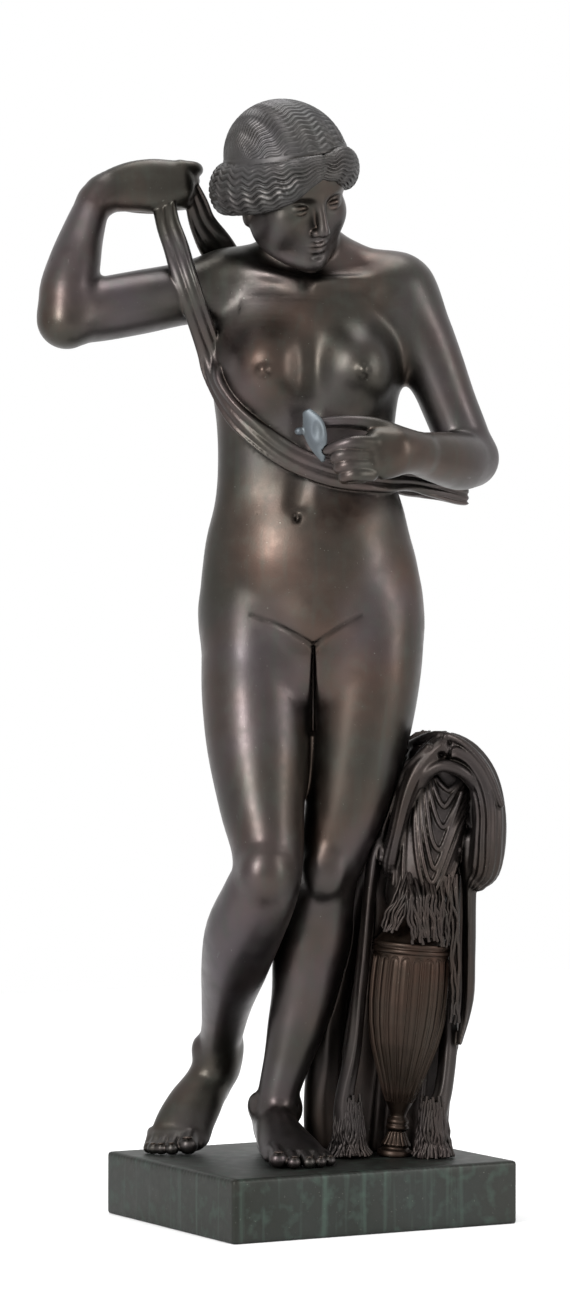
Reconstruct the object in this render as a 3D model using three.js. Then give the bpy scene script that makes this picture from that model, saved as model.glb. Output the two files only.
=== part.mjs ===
// A bronze bather: a standing nude woman with a long sash, beside a fluted urn under a fringed towel.
// Millimetres, +Z up, origin at the middle of the plinth's underside, +X along the plinth's length.
// The figure and the urn are modelled as clay: soft forms are blended into a distance field,
// the field is turned into triangles, and the triangles are thinned where the surface is smooth.
import * as THREE from 'three';
import { triTable } from 'three/addons/objects/MarchingCubes.js';

// Driving sizes
const FIGURE_HEIGHT = 1585;
const PLINTH_LENGTH = 480;
const PLINTH_WIDTH = 404;
const PLINTH_HEIGHT = 94;
const PLINTH_BEVEL = 2.5;
const SEAT_GAP = 0.3;
const URN_GAP = 2.2;
const CLASP_GAP = 2.6;
const FACING = -29;
const SASH_HALF_WIDTH = 19;
const SASH_HALF_THICKNESS = 5;
const URN_RADIUS = 60;
const URN_LEAN = 4.7;
const URN_FLUTES = 20;
const FLUTE_DEPTH = 3.5;

// The stations below are written for a figure of this height, and follow FIGURE_HEIGHT.
// A cell is the step of the field, and each node is thinned to its number of triangles.
const MODEL_HEIGHT = 1585;
const FIGURE_CELL = 5;
const FIGURE_TRIANGLES = 5600;
const URN_CELL = 4.5;
const URN_TRIANGLES = 3900;
const CLASP_CELL = 2.5;
const CLASP_TRIANGLES = 220;

const radians = THREE.MathUtils.degToRad;
const X = [1, 0, 0];
const Z = [0, 0, 1];

// Soft union of two distances, with a fillet about as wide as blend
function soften(a, b, blend) {
  if (blend <= 0) return Math.min(a, b);
  const h = Math.max(blend - Math.abs(a - b), 0) / blend;
  return Math.min(a, b) - h * h * blend / 4;
}

function spline(a, b, c, d, t) {
  const bend = (2 * a - 5 * b + 4 * c - d) * t * t + (3 * b - a - 3 * c + d) * t * t * t;
  return 0.5 * (2 * b + (c - a) * t + bend);
}

// A swept form through stations [x, y, z, half width, half depth]. side points along the half widths,
// unless each station ends with a direction of its own.
function limb(stations, { side = X, square = 2, relief = null, steps = 5 } = {}) {
  const rows = [];
  const last = stations.length - 1;
  for (let i = 0; i <= last * steps; i++) {
    const k = Math.min(Math.floor(i / steps), last - 1);
    const t = i / steps - k;
    const [a, b, c, d] = [k - 1, k, k + 1, k + 2].map((j) => stations[Math.max(0, Math.min(last, j))]);
    rows.push(b.map((_, j) => spline(a[j], b[j], c[j], d[j], t)));
  }
  const points = rows.map((r) => new THREE.Vector3(r[0], r[1], r[2]));
  const across = [];
  const deep = [];
  const along = [0];
  points.forEach((p, i) => {
    const [ahead, behind] = [points[Math.min(i + 1, points.length - 1)], points[Math.max(i - 1, 0)]];
    const tangent = ahead.clone().sub(behind).normalize();
    const s = new THREE.Vector3(...(rows[i].length > 5 ? rows[i].slice(5) : side));
    s.addScaledVector(tangent, -s.dot(tangent)).normalize();
    across.push(s);
    deep.push(tangent.clone().cross(s));
    if (i) along.push(along[i - 1] + p.distanceTo(points[i - 1]));
  });
  const reach = Math.max(...rows.map((r) => Math.max(r[3], r[4]))) * 1.15 + 3;
  const box = new THREE.Box3().setFromPoints(points).expandByScalar(reach);
  // Each sample holds its centre, half sizes, and the two directions that they are measured along
  const n = points.length;
  const width = 12;
  const samples = rows.flatMap((r, i) => [...r.slice(0, 5), ...across[i], ...deep[i], along[i]]);
  const data = Float64Array.from(samples);
  const q = new Float64Array(width);

  function distance(x, y, z) {
    let best = Infinity;
    let near = 0;
    for (let i = 0; i < n * width; i += width) {
      const d = (x - data[i]) ** 2 + (y - data[i + 1]) ** 2 + (z - data[i + 2]) ** 2;
      if (d < best) {
        best = d;
        near = i;
      }
    }
    let from = near;
    let share = 0;
    let miss = Infinity;
    for (let i = near - width; i <= near; i += width) {
      if (i < 0 || i > (n - 2) * width) continue;
      const dx = data[i + width] - data[i];
      const dy = data[i + width + 1] - data[i + 1];
      const dz = data[i + width + 2] - data[i + 2];
      const reached = (x - data[i]) * dx + (y - data[i + 1]) * dy + (z - data[i + 2]) * dz;
      const t = reached / (dx * dx + dy * dy + dz * dz);
      const c = Math.max(0, Math.min(1, t));
      const d = (x - data[i] - c * dx) ** 2 + (y - data[i + 1] - c * dy) ** 2 + (z - data[i + 2] - c * dz) ** 2;
      if (d < miss) {
        miss = d;
        from = i;
        share = c;
      }
    }
    for (let j = 0; j < width; j++) q[j] = data[from + j] + (data[from + width + j] - data[from + j]) * share;
    const a = q[3];
    const b = q[4];
    const [dx, dy, dz] = [x - q[0], y - q[1], z - q[2]];
    const u = (dx * q[5] + dy * q[6] + dz * q[7]) / a;
    const v = (dx * q[8] + dy * q[9] + dz * q[10]) / b;
    const m = Math.min(a, b);
    const w = Math.sqrt(Math.max(0, dx * dx + dy * dy + dz * dz - (u * a) ** 2 - (v * b) ** 2)) / m;
    let k = Math.sqrt(u * u + v * v + w * w) + 1e-9;
    let slope = Math.sqrt((u / a) ** 2 + (v / b) ** 2 + (w / m) ** 2) / k;
    if (square !== 2) {
      const [fu, fv] = [Math.abs(u), Math.abs(v)];
      k = (fu ** square + fv ** square + w ** square) ** (1 / square) + 1e-9;
      const e = square - 1;
      slope = Math.hypot(fu ** e / a, fv ** e / b, w ** e / m) / k ** e;
    }
    const out = (k - 1) / Math.max(slope, 1e-4);
    return relief ? out - relief(q[11], u, v) : out;
  }
  return { box, distance };
}

function ellipsoid(centre, radii, turn = [0, 0, 0]) {
  const c = new THREE.Vector3(...centre);
  const euler = new THREE.Euler(...turn.map(radians));
  const m = new THREE.Matrix4().makeRotationFromEuler(euler).transpose().elements;
  const [a, b, d] = radii;
  const box = new THREE.Box3(c.clone(), c.clone()).expandByScalar(Math.max(...radii));
  function distance(x, y, z) {
    const [px, py, pz] = [x - c.x, y - c.y, z - c.z];
    const u = (m[0] * px + m[4] * py + m[8] * pz) / a;
    const v = (m[1] * px + m[5] * py + m[9] * pz) / b;
    const w = (m[2] * px + m[6] * py + m[10] * pz) / d;
    const k = Math.sqrt(u * u + v * v + w * w) + 1e-9;
    return k * (k - 1) / (Math.sqrt((u / a) ** 2 + (v / b) ** 2 + (w / d) ** 2) + 1e-9);
  }
  return { box, distance };
}

// A round form turned about an upright axis: profile rows are [radius, z].
// grooves is an inset by angle and height.
function turned(centre, profile, grooves = () => 0) {
  const widest = Math.max(...profile.map((p) => p[0]));
  const heights = profile.map((p) => p[1]);
  const box = new THREE.Box3(
    new THREE.Vector3(centre[0] - widest, centre[1] - widest, Math.min(...heights)),
    new THREE.Vector3(centre[0] + widest, centre[1] + widest, Math.max(...heights)),
  );
  function distance(x, y, z) {
    const dx = x - centre[0];
    const dy = y - centre[1];
    const r = Math.hypot(dx, dy);
    let i = 0;
    while (i < profile.length - 2 && z > profile[i + 1][1]) i++;
    const [r0, z0] = profile[i];
    const [r1, z1] = profile[i + 1];
    const t = Math.max(0, Math.min(1, (z - z0) / (z1 - z0)));
    const lean = Math.hypot(1, (r1 - r0) / (z1 - z0));
    const side = (r - (r0 + (r1 - r0) * t)) / lean + grooves(Math.atan2(dy, dx), z);
    return Math.max(side, heights[0] - z, z - heights[heights.length - 1]);
  }
  return { box, distance };
}

// Places a form that was written in a part's own frame, such as the head's
function placed(form, frame) {
  const inverse = frame.clone().invert().elements;
  const box = form.box.clone().applyMatrix4(frame);
  const e = inverse;
  return {
    box,
    distance: (x, y, z) => form.distance(
      e[0] * x + e[4] * y + e[8] * z + e[12],
      e[1] * x + e[5] * y + e[9] * z + e[13],
      e[2] * x + e[6] * y + e[10] * z + e[14],
    ),
  };
}

class Clay {
  constructor(low, high, cell) {
    this.low = low;
    this.cell = cell;
    this.size = low.map((v, i) => Math.ceil((high[i] - v) / cell) + 1);
    this.field = new Float32Array(this.size[0] * this.size[1] * this.size[2]).fill(60);
  }

  work(form, margin, change) {
    const { low, cell, size, field } = this;
    const steps = (v, i, out) => (v + out * margin - low[i]) / cell;
    const from = form.box.min.toArray().map((v, i) => Math.max(0, Math.floor(steps(v, i, -1))));
    const to = form.box.max.toArray().map((v, i) => Math.min(size[i] - 1, Math.ceil(steps(v, i, 1))));
    for (let k = from[2]; k <= to[2]; k++) {
      for (let j = from[1]; j <= to[1]; j++) {
        for (let i = from[0]; i <= to[0]; i++) {
          const at = i + size[0] * (j + size[1] * k);
          const d = form.distance(low[0] + i * cell, low[1] + j * cell, low[2] + k * cell);
          field[at] = change(field[at], d);
        }
      }
    }
  }

  add(form, blend = 0) {
    this.work(form, blend + this.cell * 2, (old, d) => soften(old, d, blend));
  }

  cut(form, blend = 0) {
    this.work(form, blend + this.cell * 2, (old, d) => -soften(-old, d, blend));
  }

  // How far front (view -1) or back (view 1) the form reaches at x and z
  surface(x, z, view) {
    const { low, cell, size, field } = this;
    const i = Math.round((x - low[0]) / cell);
    const k = Math.round((z - low[2]) / cell);
    const at = (j) => field[i + size[0] * (j + size[1] * k)];
    let j = view < 0 ? 1 : size[1] - 2;
    while (j > 0 && j < size[1] - 1 && at(j) >= 0) j -= view;
    if (j <= 0 || j >= size[1] - 1) return -view * Infinity;
    const out = at(j + view);
    return low[1] + cell * (j + view * -at(j) / (out - at(j)));
  }

  // The outward direction of the form near a place
  slope(...place) {
    const { low, cell, size, field } = this;
    const at = place.map((v, i) => Math.round((v - low[i]) / cell));
    const value = (axis, step) => {
      const [i, j, k] = at.map((v, n) => (n === axis ? v + step : v));
      return field[i + size[0] * (j + size[1] * k)];
    };
    const rise = [0, 1, 2].map((axis) => value(axis, 2) - value(axis, -2));
    return new THREE.Vector3(...rise).normalize().toArray();
  }

  // This model as one form, larger by a margin, to be cut from a neighbour
  grown(margin) {
    const { low, cell, size, field } = this;
    const high = low.map((v, i) => v + cell * (size[i] - 1));
    const box = new THREE.Box3(new THREE.Vector3(...low), new THREE.Vector3(...high));
    const distance = (x, y, z) => {
      const g = [x, y, z].map((v, i) => Math.max(0, Math.min(size[i] - 1.001, (v - low[i]) / cell)));
      const [i, j, k] = g.map(Math.floor);
      const [a, b, c] = [g[0] - i, g[1] - j, g[2] - k];
      const row = (jj, kk) => {
        const at = i + size[0] * (jj + size[1] * kk);
        return field[at] * (1 - a) + field[at + 1] * a;
      };
      const layer = (kk) => row(j, kk) * (1 - b) + row(j + 1, kk) * b;
      return layer(k) * (1 - c) + layer(k + 1) * c - margin;
    };
    return { box, distance };
  }

  // Everything below this height is taken off
  floor(level) {
    const layer = this.size[0] * this.size[1];
    this.field.forEach((v, i) => {
      const z = this.low[2] + this.cell * Math.floor(i / layer);
      this.field[i] = Math.max(v, level - z);
    });
  }

  toMesh() {
    const { low, cell, size, field } = this;
    const [nx, ny, nz] = size;
    const square = [0, 1, 1 + nx, nx];
    const corner = [...square, ...square.map((v) => v + nx * ny)];
    const edges = [
      [0, 1], [1, 2], [3, 2], [0, 3],
      [4, 5], [5, 6], [7, 6], [4, 7],
      [0, 4], [1, 5], [2, 6], [3, 7],
    ];
    const found = new Map();
    const points = [];
    const faces = [];
    const vertex = (a, b) => {
      const key = a * 3 + (b - a === 1 ? 0 : b - a === nx ? 1 : 2);
      let id = found.get(key);
      if (id !== undefined) return id;
      const t = Math.max(0.02, Math.min(0.98, field[a] / (field[a] - field[b])));
      const place = (n) => [n % nx, Math.floor(n / nx) % ny, Math.floor(n / (nx * ny))];
      const [p, q] = [place(a), place(b)];
      id = points.length;
      points.push(p.map((v, i) => low[i] + cell * (v + (q[i] - v) * t)));
      found.set(key, id);
      return id;
    };
    for (let k = 0; k < nz - 1; k++) {
      for (let j = 0; j < ny - 1; j++) {
        for (let i = 0; i < nx - 1; i++) {
          const base = i + nx * (j + ny * k);
          let kind = 0;
          for (let c = 0; c < 8; c++) if (field[base + corner[c]] < 0) kind |= 1 << c;
          if (kind === 0 || kind === 255) continue;
          for (let t = kind * 16; triTable[t] !== -1; t += 3) {
            const [a, b, c] = [0, 1, 2].map((s) => {
              const [start, end] = edges[triTable[t + s]];
              return vertex(base + corner[start], base + corner[end]);
            });
            faces.push([a, c, b]);
          }
        }
      }
    }
    return { points, faces };
  }
}

// The thinning: edges are folded together, cheapest first, where that moves the surface least.
function thin({ points, faces }, wanted) {
  const p = points.map((v) => v.slice());
  const face = faces.map((f) => f.slice());
  const alive = new Uint8Array(face.length).fill(1);
  const around = p.map(() => new Set());
  face.forEach((f, i) => f.forEach((v) => around[v].add(i)));
  const quadric = p.map(() => new Float64Array(10));
  const stamp = new Uint32Array(p.length);
  const cross = (a, b, c) => {
    const [ux, uy, uz] = [b[0] - a[0], b[1] - a[1], b[2] - a[2]];
    const [vx, vy, vz] = [c[0] - a[0], c[1] - a[1], c[2] - a[2]];
    return [uy * vz - uz * vy, uz * vx - ux * vz, ux * vy - uy * vx];
  };
  face.forEach((f) => {
    const n = cross(...f.map((v) => p[v]));
    const area = Math.hypot(...n);
    if (area < 1e-9) return;
    const [a, b, c] = n.map((v) => v / area);
    const d = -(a * p[f[0]][0] + b * p[f[0]][1] + c * p[f[0]][2]);
    const plane = [a * a, a * b, a * c, a * d, b * b, b * c, b * d, c * c, c * d, d * d];
    f.forEach((v) => plane.forEach((s, i) => { quadric[v][i] += s * area; }));
  });
  const cost = (m, [x, y, z]) => m[0] * x * x + 2 * m[1] * x * y + 2 * m[2] * x * z + 2 * m[3] * x + m[4] * y * y
    + 2 * m[5] * y * z + 2 * m[6] * y + m[7] * z * z + 2 * m[8] * z + m[9];
  const fold = (a, b) => {
    const m = quadric[a].map((v, i) => v + quadric[b][i]);
    const [A, B, C, D, E, F, G, H, I] = m;
    const det = A * (E * H - F * F) - B * (B * H - F * C) + C * (B * F - E * C);
    const middle = p[a].map((v, i) => (v + p[b][i]) / 2);
    const choices = [middle, p[a], p[b]];
    const scale = Math.abs(A) + Math.abs(E) + Math.abs(H);
    if (Math.abs(det) > 1e-5 * scale ** 3) {
      const spot = [
        -(D * (E * H - F * F) - B * (G * H - F * I) + C * (G * F - E * I)) / det,
        -(A * (G * H - F * I) - D * (B * H - F * C) + C * (B * I - G * C)) / det,
        -(A * (E * I - G * F) - B * (B * I - G * C) + D * (B * F - E * C)) / det,
      ];
      const length = Math.hypot(...p[a].map((v, i) => v - p[b][i]));
      if (Math.hypot(...spot.map((v, i) => v - middle[i])) < length) choices.push(spot);
    }
    let best = Infinity;
    let place = middle;
    choices.forEach((c) => {
      const e = cost(m, c);
      if (e < best) {
        best = e;
        place = c;
      }
    });
    const length2 = p[a].reduce((s, v, i) => s + (v - p[b][i]) ** 2, 0);
    return { error: Math.max(best, 0) + length2 * 1e-3, place };
  };
  const heap = [];
  const swap = (i, j) => { [heap[i], heap[j]] = [heap[j], heap[i]]; };
  const push = (item) => {
    let i = heap.push(item) - 1;
    while (i > 0 && heap[(i - 1) >> 1].error > heap[i].error) {
      swap(i, (i - 1) >> 1);
      i = (i - 1) >> 1;
    }
  };
  const pop = () => {
    const top = heap[0];
    const end = heap.pop();
    if (heap.length) {
      heap[0] = end;
      for (let i = 0; ;) {
        let s = i;
        for (const c of [2 * i + 1, 2 * i + 2]) if (c < heap.length && heap[c].error < heap[s].error) s = c;
        if (s === i) break;
        swap(i, s);
        i = s;
      }
    }
    return top;
  };
  const offer = (a, b) => push({ ...fold(a, b), a, b, age: stamp[a] + stamp[b] });
  const neighbours = (v) => new Set([...around[v]].flatMap((f) => face[f]).filter((o) => o !== v));
  face.forEach((f) => [[0, 1], [1, 2], [2, 0]].forEach(([i, j]) => { if (f[i] < f[j]) offer(f[i], f[j]); }));
  let count = face.length;
  while (count > wanted && heap.length) {
    const { a, b, age, place } = pop();
    if (age !== stamp[a] + stamp[b] || !around[a].size || !around[b].size) continue;
    const ring = neighbours(b);
    const shared = [...neighbours(a)].filter((v) => ring.has(v));
    if (shared.length !== 2 || !ring.has(a)) continue;
    const touching = [...new Set([...around[a], ...around[b]])];
    const kept = touching.filter((f) => !(face[f].includes(a) && face[f].includes(b)));
    const flips = kept.some((f) => {
      const before = cross(...face[f].map((v) => p[v]));
      const after = cross(...face[f].map((v) => (v === a || v === b ? place : p[v])));
      const dot = before.reduce((s, v, i) => s + v * after[i], 0);
      const size = Math.hypot(...after);
      return dot < 0.25 * Math.hypot(...before) * size || size < 0.02;
    });
    if (flips) continue;
    [...around[b]].forEach((f) => {
      if (face[f].includes(a)) {
        alive[f] = 0;
        count--;
        face[f].forEach((v) => around[v].delete(f));
      } else {
        face[f][face[f].indexOf(b)] = a;
        around[a].add(f);
      }
    });
    around[b].clear();
    p[a] = place;
    quadric[a].forEach((v, i) => { quadric[a][i] = v + quadric[b][i]; });
    stamp[a] += 1;
    stamp[b] += 1;
    neighbours(a).forEach((v) => offer(a, v));
  }
  return { points: p, faces: face.filter((_, i) => alive[i]) };
}

function geometry({ points, faces }) {
  const used = new Map();
  faces.flat().forEach((v) => { if (!used.has(v)) used.set(v, used.size); });
  const made = new THREE.BufferGeometry();
  made.setAttribute('position', new THREE.Float32BufferAttribute([...used.keys()].flatMap((v) => points[v]), 3));
  made.setIndex(faces.flat().map((v) => used.get(v)));
  return made;
}

// The body. The viewer faces +Y here, and the plinth's top is at z = 0.
function modelTorso(clay) {
  clay.add(limb([
    [1, 8, 752, 150, 84],
    [1, 8, 790, 164, 92],
    [1, 5, 830, 167, 92],
    [-1, 2, 872, 163, 88],
    [-3, -3, 912, 156, 84],
    [-4, -6, 956, 146, 80],
    [-6, -6, 1000, 135, 76],
    [-7, -4, 1045, 131.5, 78],
    [-7, 0, 1092, 133, 85],
    [-7, 4, 1134, 138, 92],
    [-7, 6, 1180, 144, 96],
    [-7, 8, 1224, 146, 94],
    [-6, 12, 1266, 138, 84],
    [-5, 16, 1300, 112, 68],
    [-6, 18, 1328, 78, 54],
  ], { square: 2.25 }), 0);
  // Shoulders and the muscle that slopes from the neck
  clay.add(limb([
    [-112, 18, 1312, 42, 50],
    [-60, 22, 1330, 40, 46],
    [-6, 24, 1338, 44, 46],
    [60, 24, 1330, 40, 48],
    [118, 18, 1303, 48, 50],
  ], { side: Z }), 34);
  clay.add(limb([
    [-8, 32, 1328, 62, 50],
    [-11, 16, 1362, 52, 48],
    [-18, -8, 1396, 50, 50],
    [-26, -36, 1430, 48, 52],
  ]), 28);
  // Collar bones
  clay.add(limb([[-18, -54, 1306, 6, 6], [-60, -50, 1318, 7, 7], [-104, -26, 1328, 8, 8]]), 24);
  clay.add(limb([[8, -54, 1304, 6, 6], [54, -52, 1308, 7, 7], [104, -30, 1306, 8, 8]]), 24);
  clay.cut(ellipsoid([-5, -72, 1314], [9, 12, 12]), 14);
  // Breasts
  clay.add(ellipsoid([-62, -70, 1176], [50, 48, 54], [10, 0, 8]), 40);
  clay.add(ellipsoid([68, -68, 1176], [50, 48, 54], [10, 0, -8]), 40);
  clay.add(ellipsoid([-70, -117, 1173], [8, 8, 8]), 8);
  clay.add(ellipsoid([78, -114, 1174], [8, 8, 8]), 8);
  clay.cut(limb([[-3, -122, 1236, 8, 16], [-3, -121, 1180, 8, 18], [-4, -114, 1124, 8, 12]]), 30);
  // Belly, its midline and the navel
  clay.add(ellipsoid([0, -48, 890], [92, 52, 78]), 60);
  clay.cut(limb([[-6, -99, 1110, 5, 8], [-12, -95, 1040, 5, 8], [-19, -99, 980, 4, 6]]), 26);
  clay.cut(ellipsoid([-20, -97, 956], [3.5, 7, 5.5]), 7);
  clay.add(ellipsoid([6, -62, 800], [46, 34, 40]), 40);
  // Back: spine furrow, shoulder blades and buttocks
  clay.cut(limb([
    [-6, 112, 1290, 8, 14],
    [-7, 112, 1180, 9, 16],
    [-6, 96, 1040, 9, 16],
    [-3, 98, 940, 9, 14],
    [2, 112, 900, 6, 10],
  ]), 30);
  clay.add(ellipsoid([-82, 68, 1230], [46, 30, 66], [0, 10, 0]), 34);
  clay.add(ellipsoid([72, 70, 1216], [46, 30, 66], [0, -8, 0]), 34);
  clay.add(ellipsoid([-74, 60, 800], [76, 66, 78]), 44);
  clay.add(ellipsoid([80, 62, 818], [76, 64, 78]), 44);
  clay.cut(limb([[2, 138, 872, 4, 20], [3, 146, 800, 4, 32], [3, 130, 735, 5, 26]]), 16);
}

// A shallow groove that follows the surface through points [x, z], seen from the front (-1) or the back (1)
function creases(clay, view, places, radius, blend) {
  const stations = places.map(([x, z]) => [x, clay.surface(x, z, view) + view * radius * 0.35, z, radius, radius]);
  clay.cut(limb(stations), blend);
}

// Stations of a band, moved to lie on the body. Each gains the direction that its width runs in.
function drape(clay, stations, view) {
  const seated = stations.map(([x, y, z, a, b]) => {
    const skin = clay.surface(x, z, view);
    if (!Number.isFinite(skin) || (skin - y) * view < 0) {
      return { place: [x, y, z], size: [a, b], normal: [0, view, 0] };
    }
    const normal = clay.slope(x, skin, z);
    return { place: [x, skin, z].map((v, i) => v + normal[i] * b * 0.7), size: [a, b], normal };
  });
  return seated.map(({ place, size, normal }, i) => {
    const [from, to] = [seated[Math.max(0, i - 1)].place, seated[Math.min(seated.length - 1, i + 1)].place];
    const path = new THREE.Vector3(...to).sub(new THREE.Vector3(...from));
    const across = path.cross(new THREE.Vector3(...normal)).normalize();
    if (across.z < 0) across.negate();
    return [...place, ...size, ...across];
  });
}

function modelLegs(clay) {
  // Bent leg, heel raised
  clay.add(limb([
    [-87, 8, 812, 74, 88],
    [-84, 0, 750, 79, 88],
    [-83, -10, 690, 79.5, 82],
    [-78, -32, 612, 76, 74],
    [-72, -62, 530, 64, 66],
    [-64, -88, 468, 54, 60],
    [-65, -102, 428, 52, 56],
    [-77, -88, 392, 55, 56],
    [-100, -46, 338, 57, 58],
    [-114, 2, 284, 50, 53],
    [-125, 52, 232, 39.5, 43],
    [-132, 92, 188, 33, 38],
    [-138, 124, 150, 31, 40],
    [-136, 146, 122, 28, 38],
  ]), 18);
  clay.add(ellipsoid([-70, -146, 432], [27, 20, 30]), 26);
  // Standing leg
  clay.add(limb([
    [82, 8, 830, 76, 86],
    [86, 6, 774, 83, 88],
    [82, 2, 700, 80, 84],
    [70, -2, 612, 73, 77],
    [54, -6, 530, 62, 69],
    [32, -6, 462, 55, 60],
    [20, -4, 424, 52, 56],
    [14, 6, 384, 52, 54],
    [6, 20, 330, 57, 60],
    [-2, 26, 288, 54, 57],
    [-11, 24, 234, 48, 49],
    [-22, 20, 189, 43, 42],
    [-34, 18, 144, 36, 38],
    [-46, 18, 100, 31.5, 37],
    [-52, 22, 64, 32, 38],
  ]), 18);
  clay.add(ellipsoid([20, -54, 428], [26, 16, 30]), 24);
  // Groin lines
  creases(clay, -1, [[-98, 814], [-60, 800], [-15, 782], [12, 772]], 3.2, 7);
  creases(clay, -1, [[110, 828], [80, 804], [48, 784], [12, 772]], 3.2, 7);
}

// Each toe runs from its root [x, y, z] to its tip [x, y], with its radius last
function modelToes(clay, toes) {
  toes.forEach(([x0, y0, z0, x1, y1, r]) => clay.add(limb([
    [x0, y0, z0, r, r],
    [(x0 + x1) / 2, (y0 + y1) / 2, (z0 + r) / 2 + 2, r * 0.85, r * 0.88],
    [x1, y1, r - 1, r, r * 0.9],
  ]), 4));
}

function modelFeet(clay) {
  // Standing foot
  clay.add(limb([
    [-58, 52, 30, 26, 29],
    [-55, 22, 38, 30, 36],
    [-50, -22, 40, 33, 33],
    [-40, -68, 30, 41, 27],
    [-28, -108, 19, 47, 19],
    [-24, -128, 14, 46, 14],
  ]), 20);
  clay.add(ellipsoid([-84, 22, 74], [10, 15, 16]), 14);
  clay.add(ellipsoid([-22, 30, 68], [10, 15, 16]), 14);
  modelToes(clay, [
    [-55, -118, 19, -48, -158, 14],
    [-32, -124, 15.5, -25, -164, 10.5],
    [-13, -120, 15, -3, -158, 10],
    [4, -112, 14.5, 14, -148, 9.5],
    [18, -98, 14, 28, -130, 9],
  ]);
  // Bent foot, standing on its ball
  clay.add(limb([
    [-138, 130, 140, 32, 38],
    [-156, 116, 98, 35, 33],
    [-173, 92, 72, 41, 28],
    [-188, 68, 46, 44, 24],
    [-196, 48, 26, 45, 20],
    [-201, 34, 18, 43, 15],
  ]), 20);
  clay.add(limb([[-142, 160, 128, 27, 27], [-146, 172, 106, 28, 26], [-154, 140, 80, 26, 24]]), 18);
  clay.add(ellipsoid([-170, 118, 150], [9, 13, 15]), 14);
  clay.add(ellipsoid([-116, 122, 156], [9, 13, 15]), 14);
  modelToes(clay, [
    [-178, 48, 24, -184, 12, 15],
    [-201, 44, 24, -208, 8, 10.5],
    [-217, 46, 24, -224, 14, 10],
    [-230, 50, 25, -236, 20, 9.5],
    [-238, 62, 28, -243, 32, 9],
  ]);
}

function modelRaisedArm(clay) {
  clay.add(limb([
    [-78, 22, 1288, 50, 60],
    [-124, 14, 1306, 52, 56],
    [-188, -12, 1293, 46.5, 50],
    [-255, -42, 1278, 47.5, 49],
    [-310, -66, 1266, 47, 46],
    [-348, -86, 1256, 43, 44],
    [-362, -92, 1250, 41, 42],
  ], { side: Z }), 34);
  clay.add(limb([
    [-360, -94, 1248, 41, 40],
    [-359, -84, 1290, 43, 44],
    [-350, -64, 1336, 38.5, 41],
    [-340, -40, 1378, 32, 35],
    [-328, -18, 1416, 27, 29],
    [-314, -6, 1440, 25, 28],
  ]), 12);
  // Its hand, closed on the sash
  clay.add(limb([
    [-322, -8, 1432, 24, 26],
    [-298, -4, 1446, 32, 24],
    [-264, 0, 1454, 38, 23],
    [-228, 4, 1456, 40, 22],
    [-194, 8, 1462, 32, 20],
  ], { side: Z }), 14);
  const knuckles = [1483, 1466, 1449, 1434];
  knuckles.forEach((z, i) => clay.add(limb([
    [-194 - i * 5, 6, z, 11, 11],
    [-175 - i * 5, 16, z - 1, 11, 11],
    [-173 - i * 5, 36, z - 2, 10, 10],
    [-192 - i * 5, 48, z - 3, 9.5, 9.5],
    [-218 - i * 4, 46, z - 4, 9, 9],
  ], { side: Z }), 5));
  clay.add(limb([
    [-294, 14, 1436, 15, 15],
    [-262, 34, 1430, 13, 13],
    [-228, 36, 1427, 11, 11],
    [-202, 30, 1430, 9.5, 9.5],
  ], { side: Z }), 8);
}

function modelLoweredArm(clay) {
  clay.add(limb([
    [96, 20, 1288, 50, 56],
    [132, 16, 1294, 54, 56],
    [160, 14, 1248, 48, 50],
    [184, 14, 1192, 45, 47],
    [206, 12, 1134, 42, 45],
    [225, 8, 1086, 41, 43],
    [238, 4, 1050, 41, 42],
  ]), 26);
  clay.add(limb([
    [240, 2, 1045, 41, 41],
    [222, -42, 1041, 41, 43],
    [194, -92, 1044, 37, 39],
    [164, -140, 1048, 31, 33],
    [138, -180, 1053, 26, 28],
    [126, -196, 1054, 25, 28],
  ]), 12);
}

function modelLoweredHand(clay) {
  clay.add(limb([
    [138, -184, 1048, 29, 24],
    [116, -200, 1047, 36, 22],
    [98, -208, 1046, 38, 20],
    [88, -210, 1044, 33, 17],
  ], { side: Z }), 10);
  // Thumb above, first finger below it, and the others curled under the palm
  clay.add(limb([
    [114, -190, 1084, 13, 13],
    [86, -196, 1092, 11, 11],
    [50, -198, 1094, 9.5, 9.5],
    [16, -199, 1093, 8, 8],
  ], { side: Z }), 8);
  clay.add(limb([
    [90, -218, 1062, 12, 12],
    [62, -231, 1063, 10, 10],
    [40, -226, 1058, 9.2, 9.2],
    [22, -212, 1052, 8, 8],
  ], { side: Z }), 5);
  [[1042, 28], [1027, 33], [1013, 41]].forEach(([z, left]) => clay.add(limb([
    [86, -216, z + 4, 11, 11],
    [left + 24, -230, z + 3, 10, 10],
    [left + 9, -225, z, 9.2, 9.2],
    [left + 10, -209, z - 2, 8.6, 8.6],
    [left + 34, -200, z, 8.6, 8.6],
  ], { side: Z }), 2.5));
}

// The head has its own frame: origin between the ears, face towards -Y
const headFrame = new THREE.Matrix4().compose(
  new THREE.Vector3(-32, -62, 1450),
  new THREE.Quaternion().setFromEuler(new THREE.Euler(radians(25), radians(-12), radians(30), 'ZYX')),
  new THREE.Vector3(1, 1, 1),
);

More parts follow.
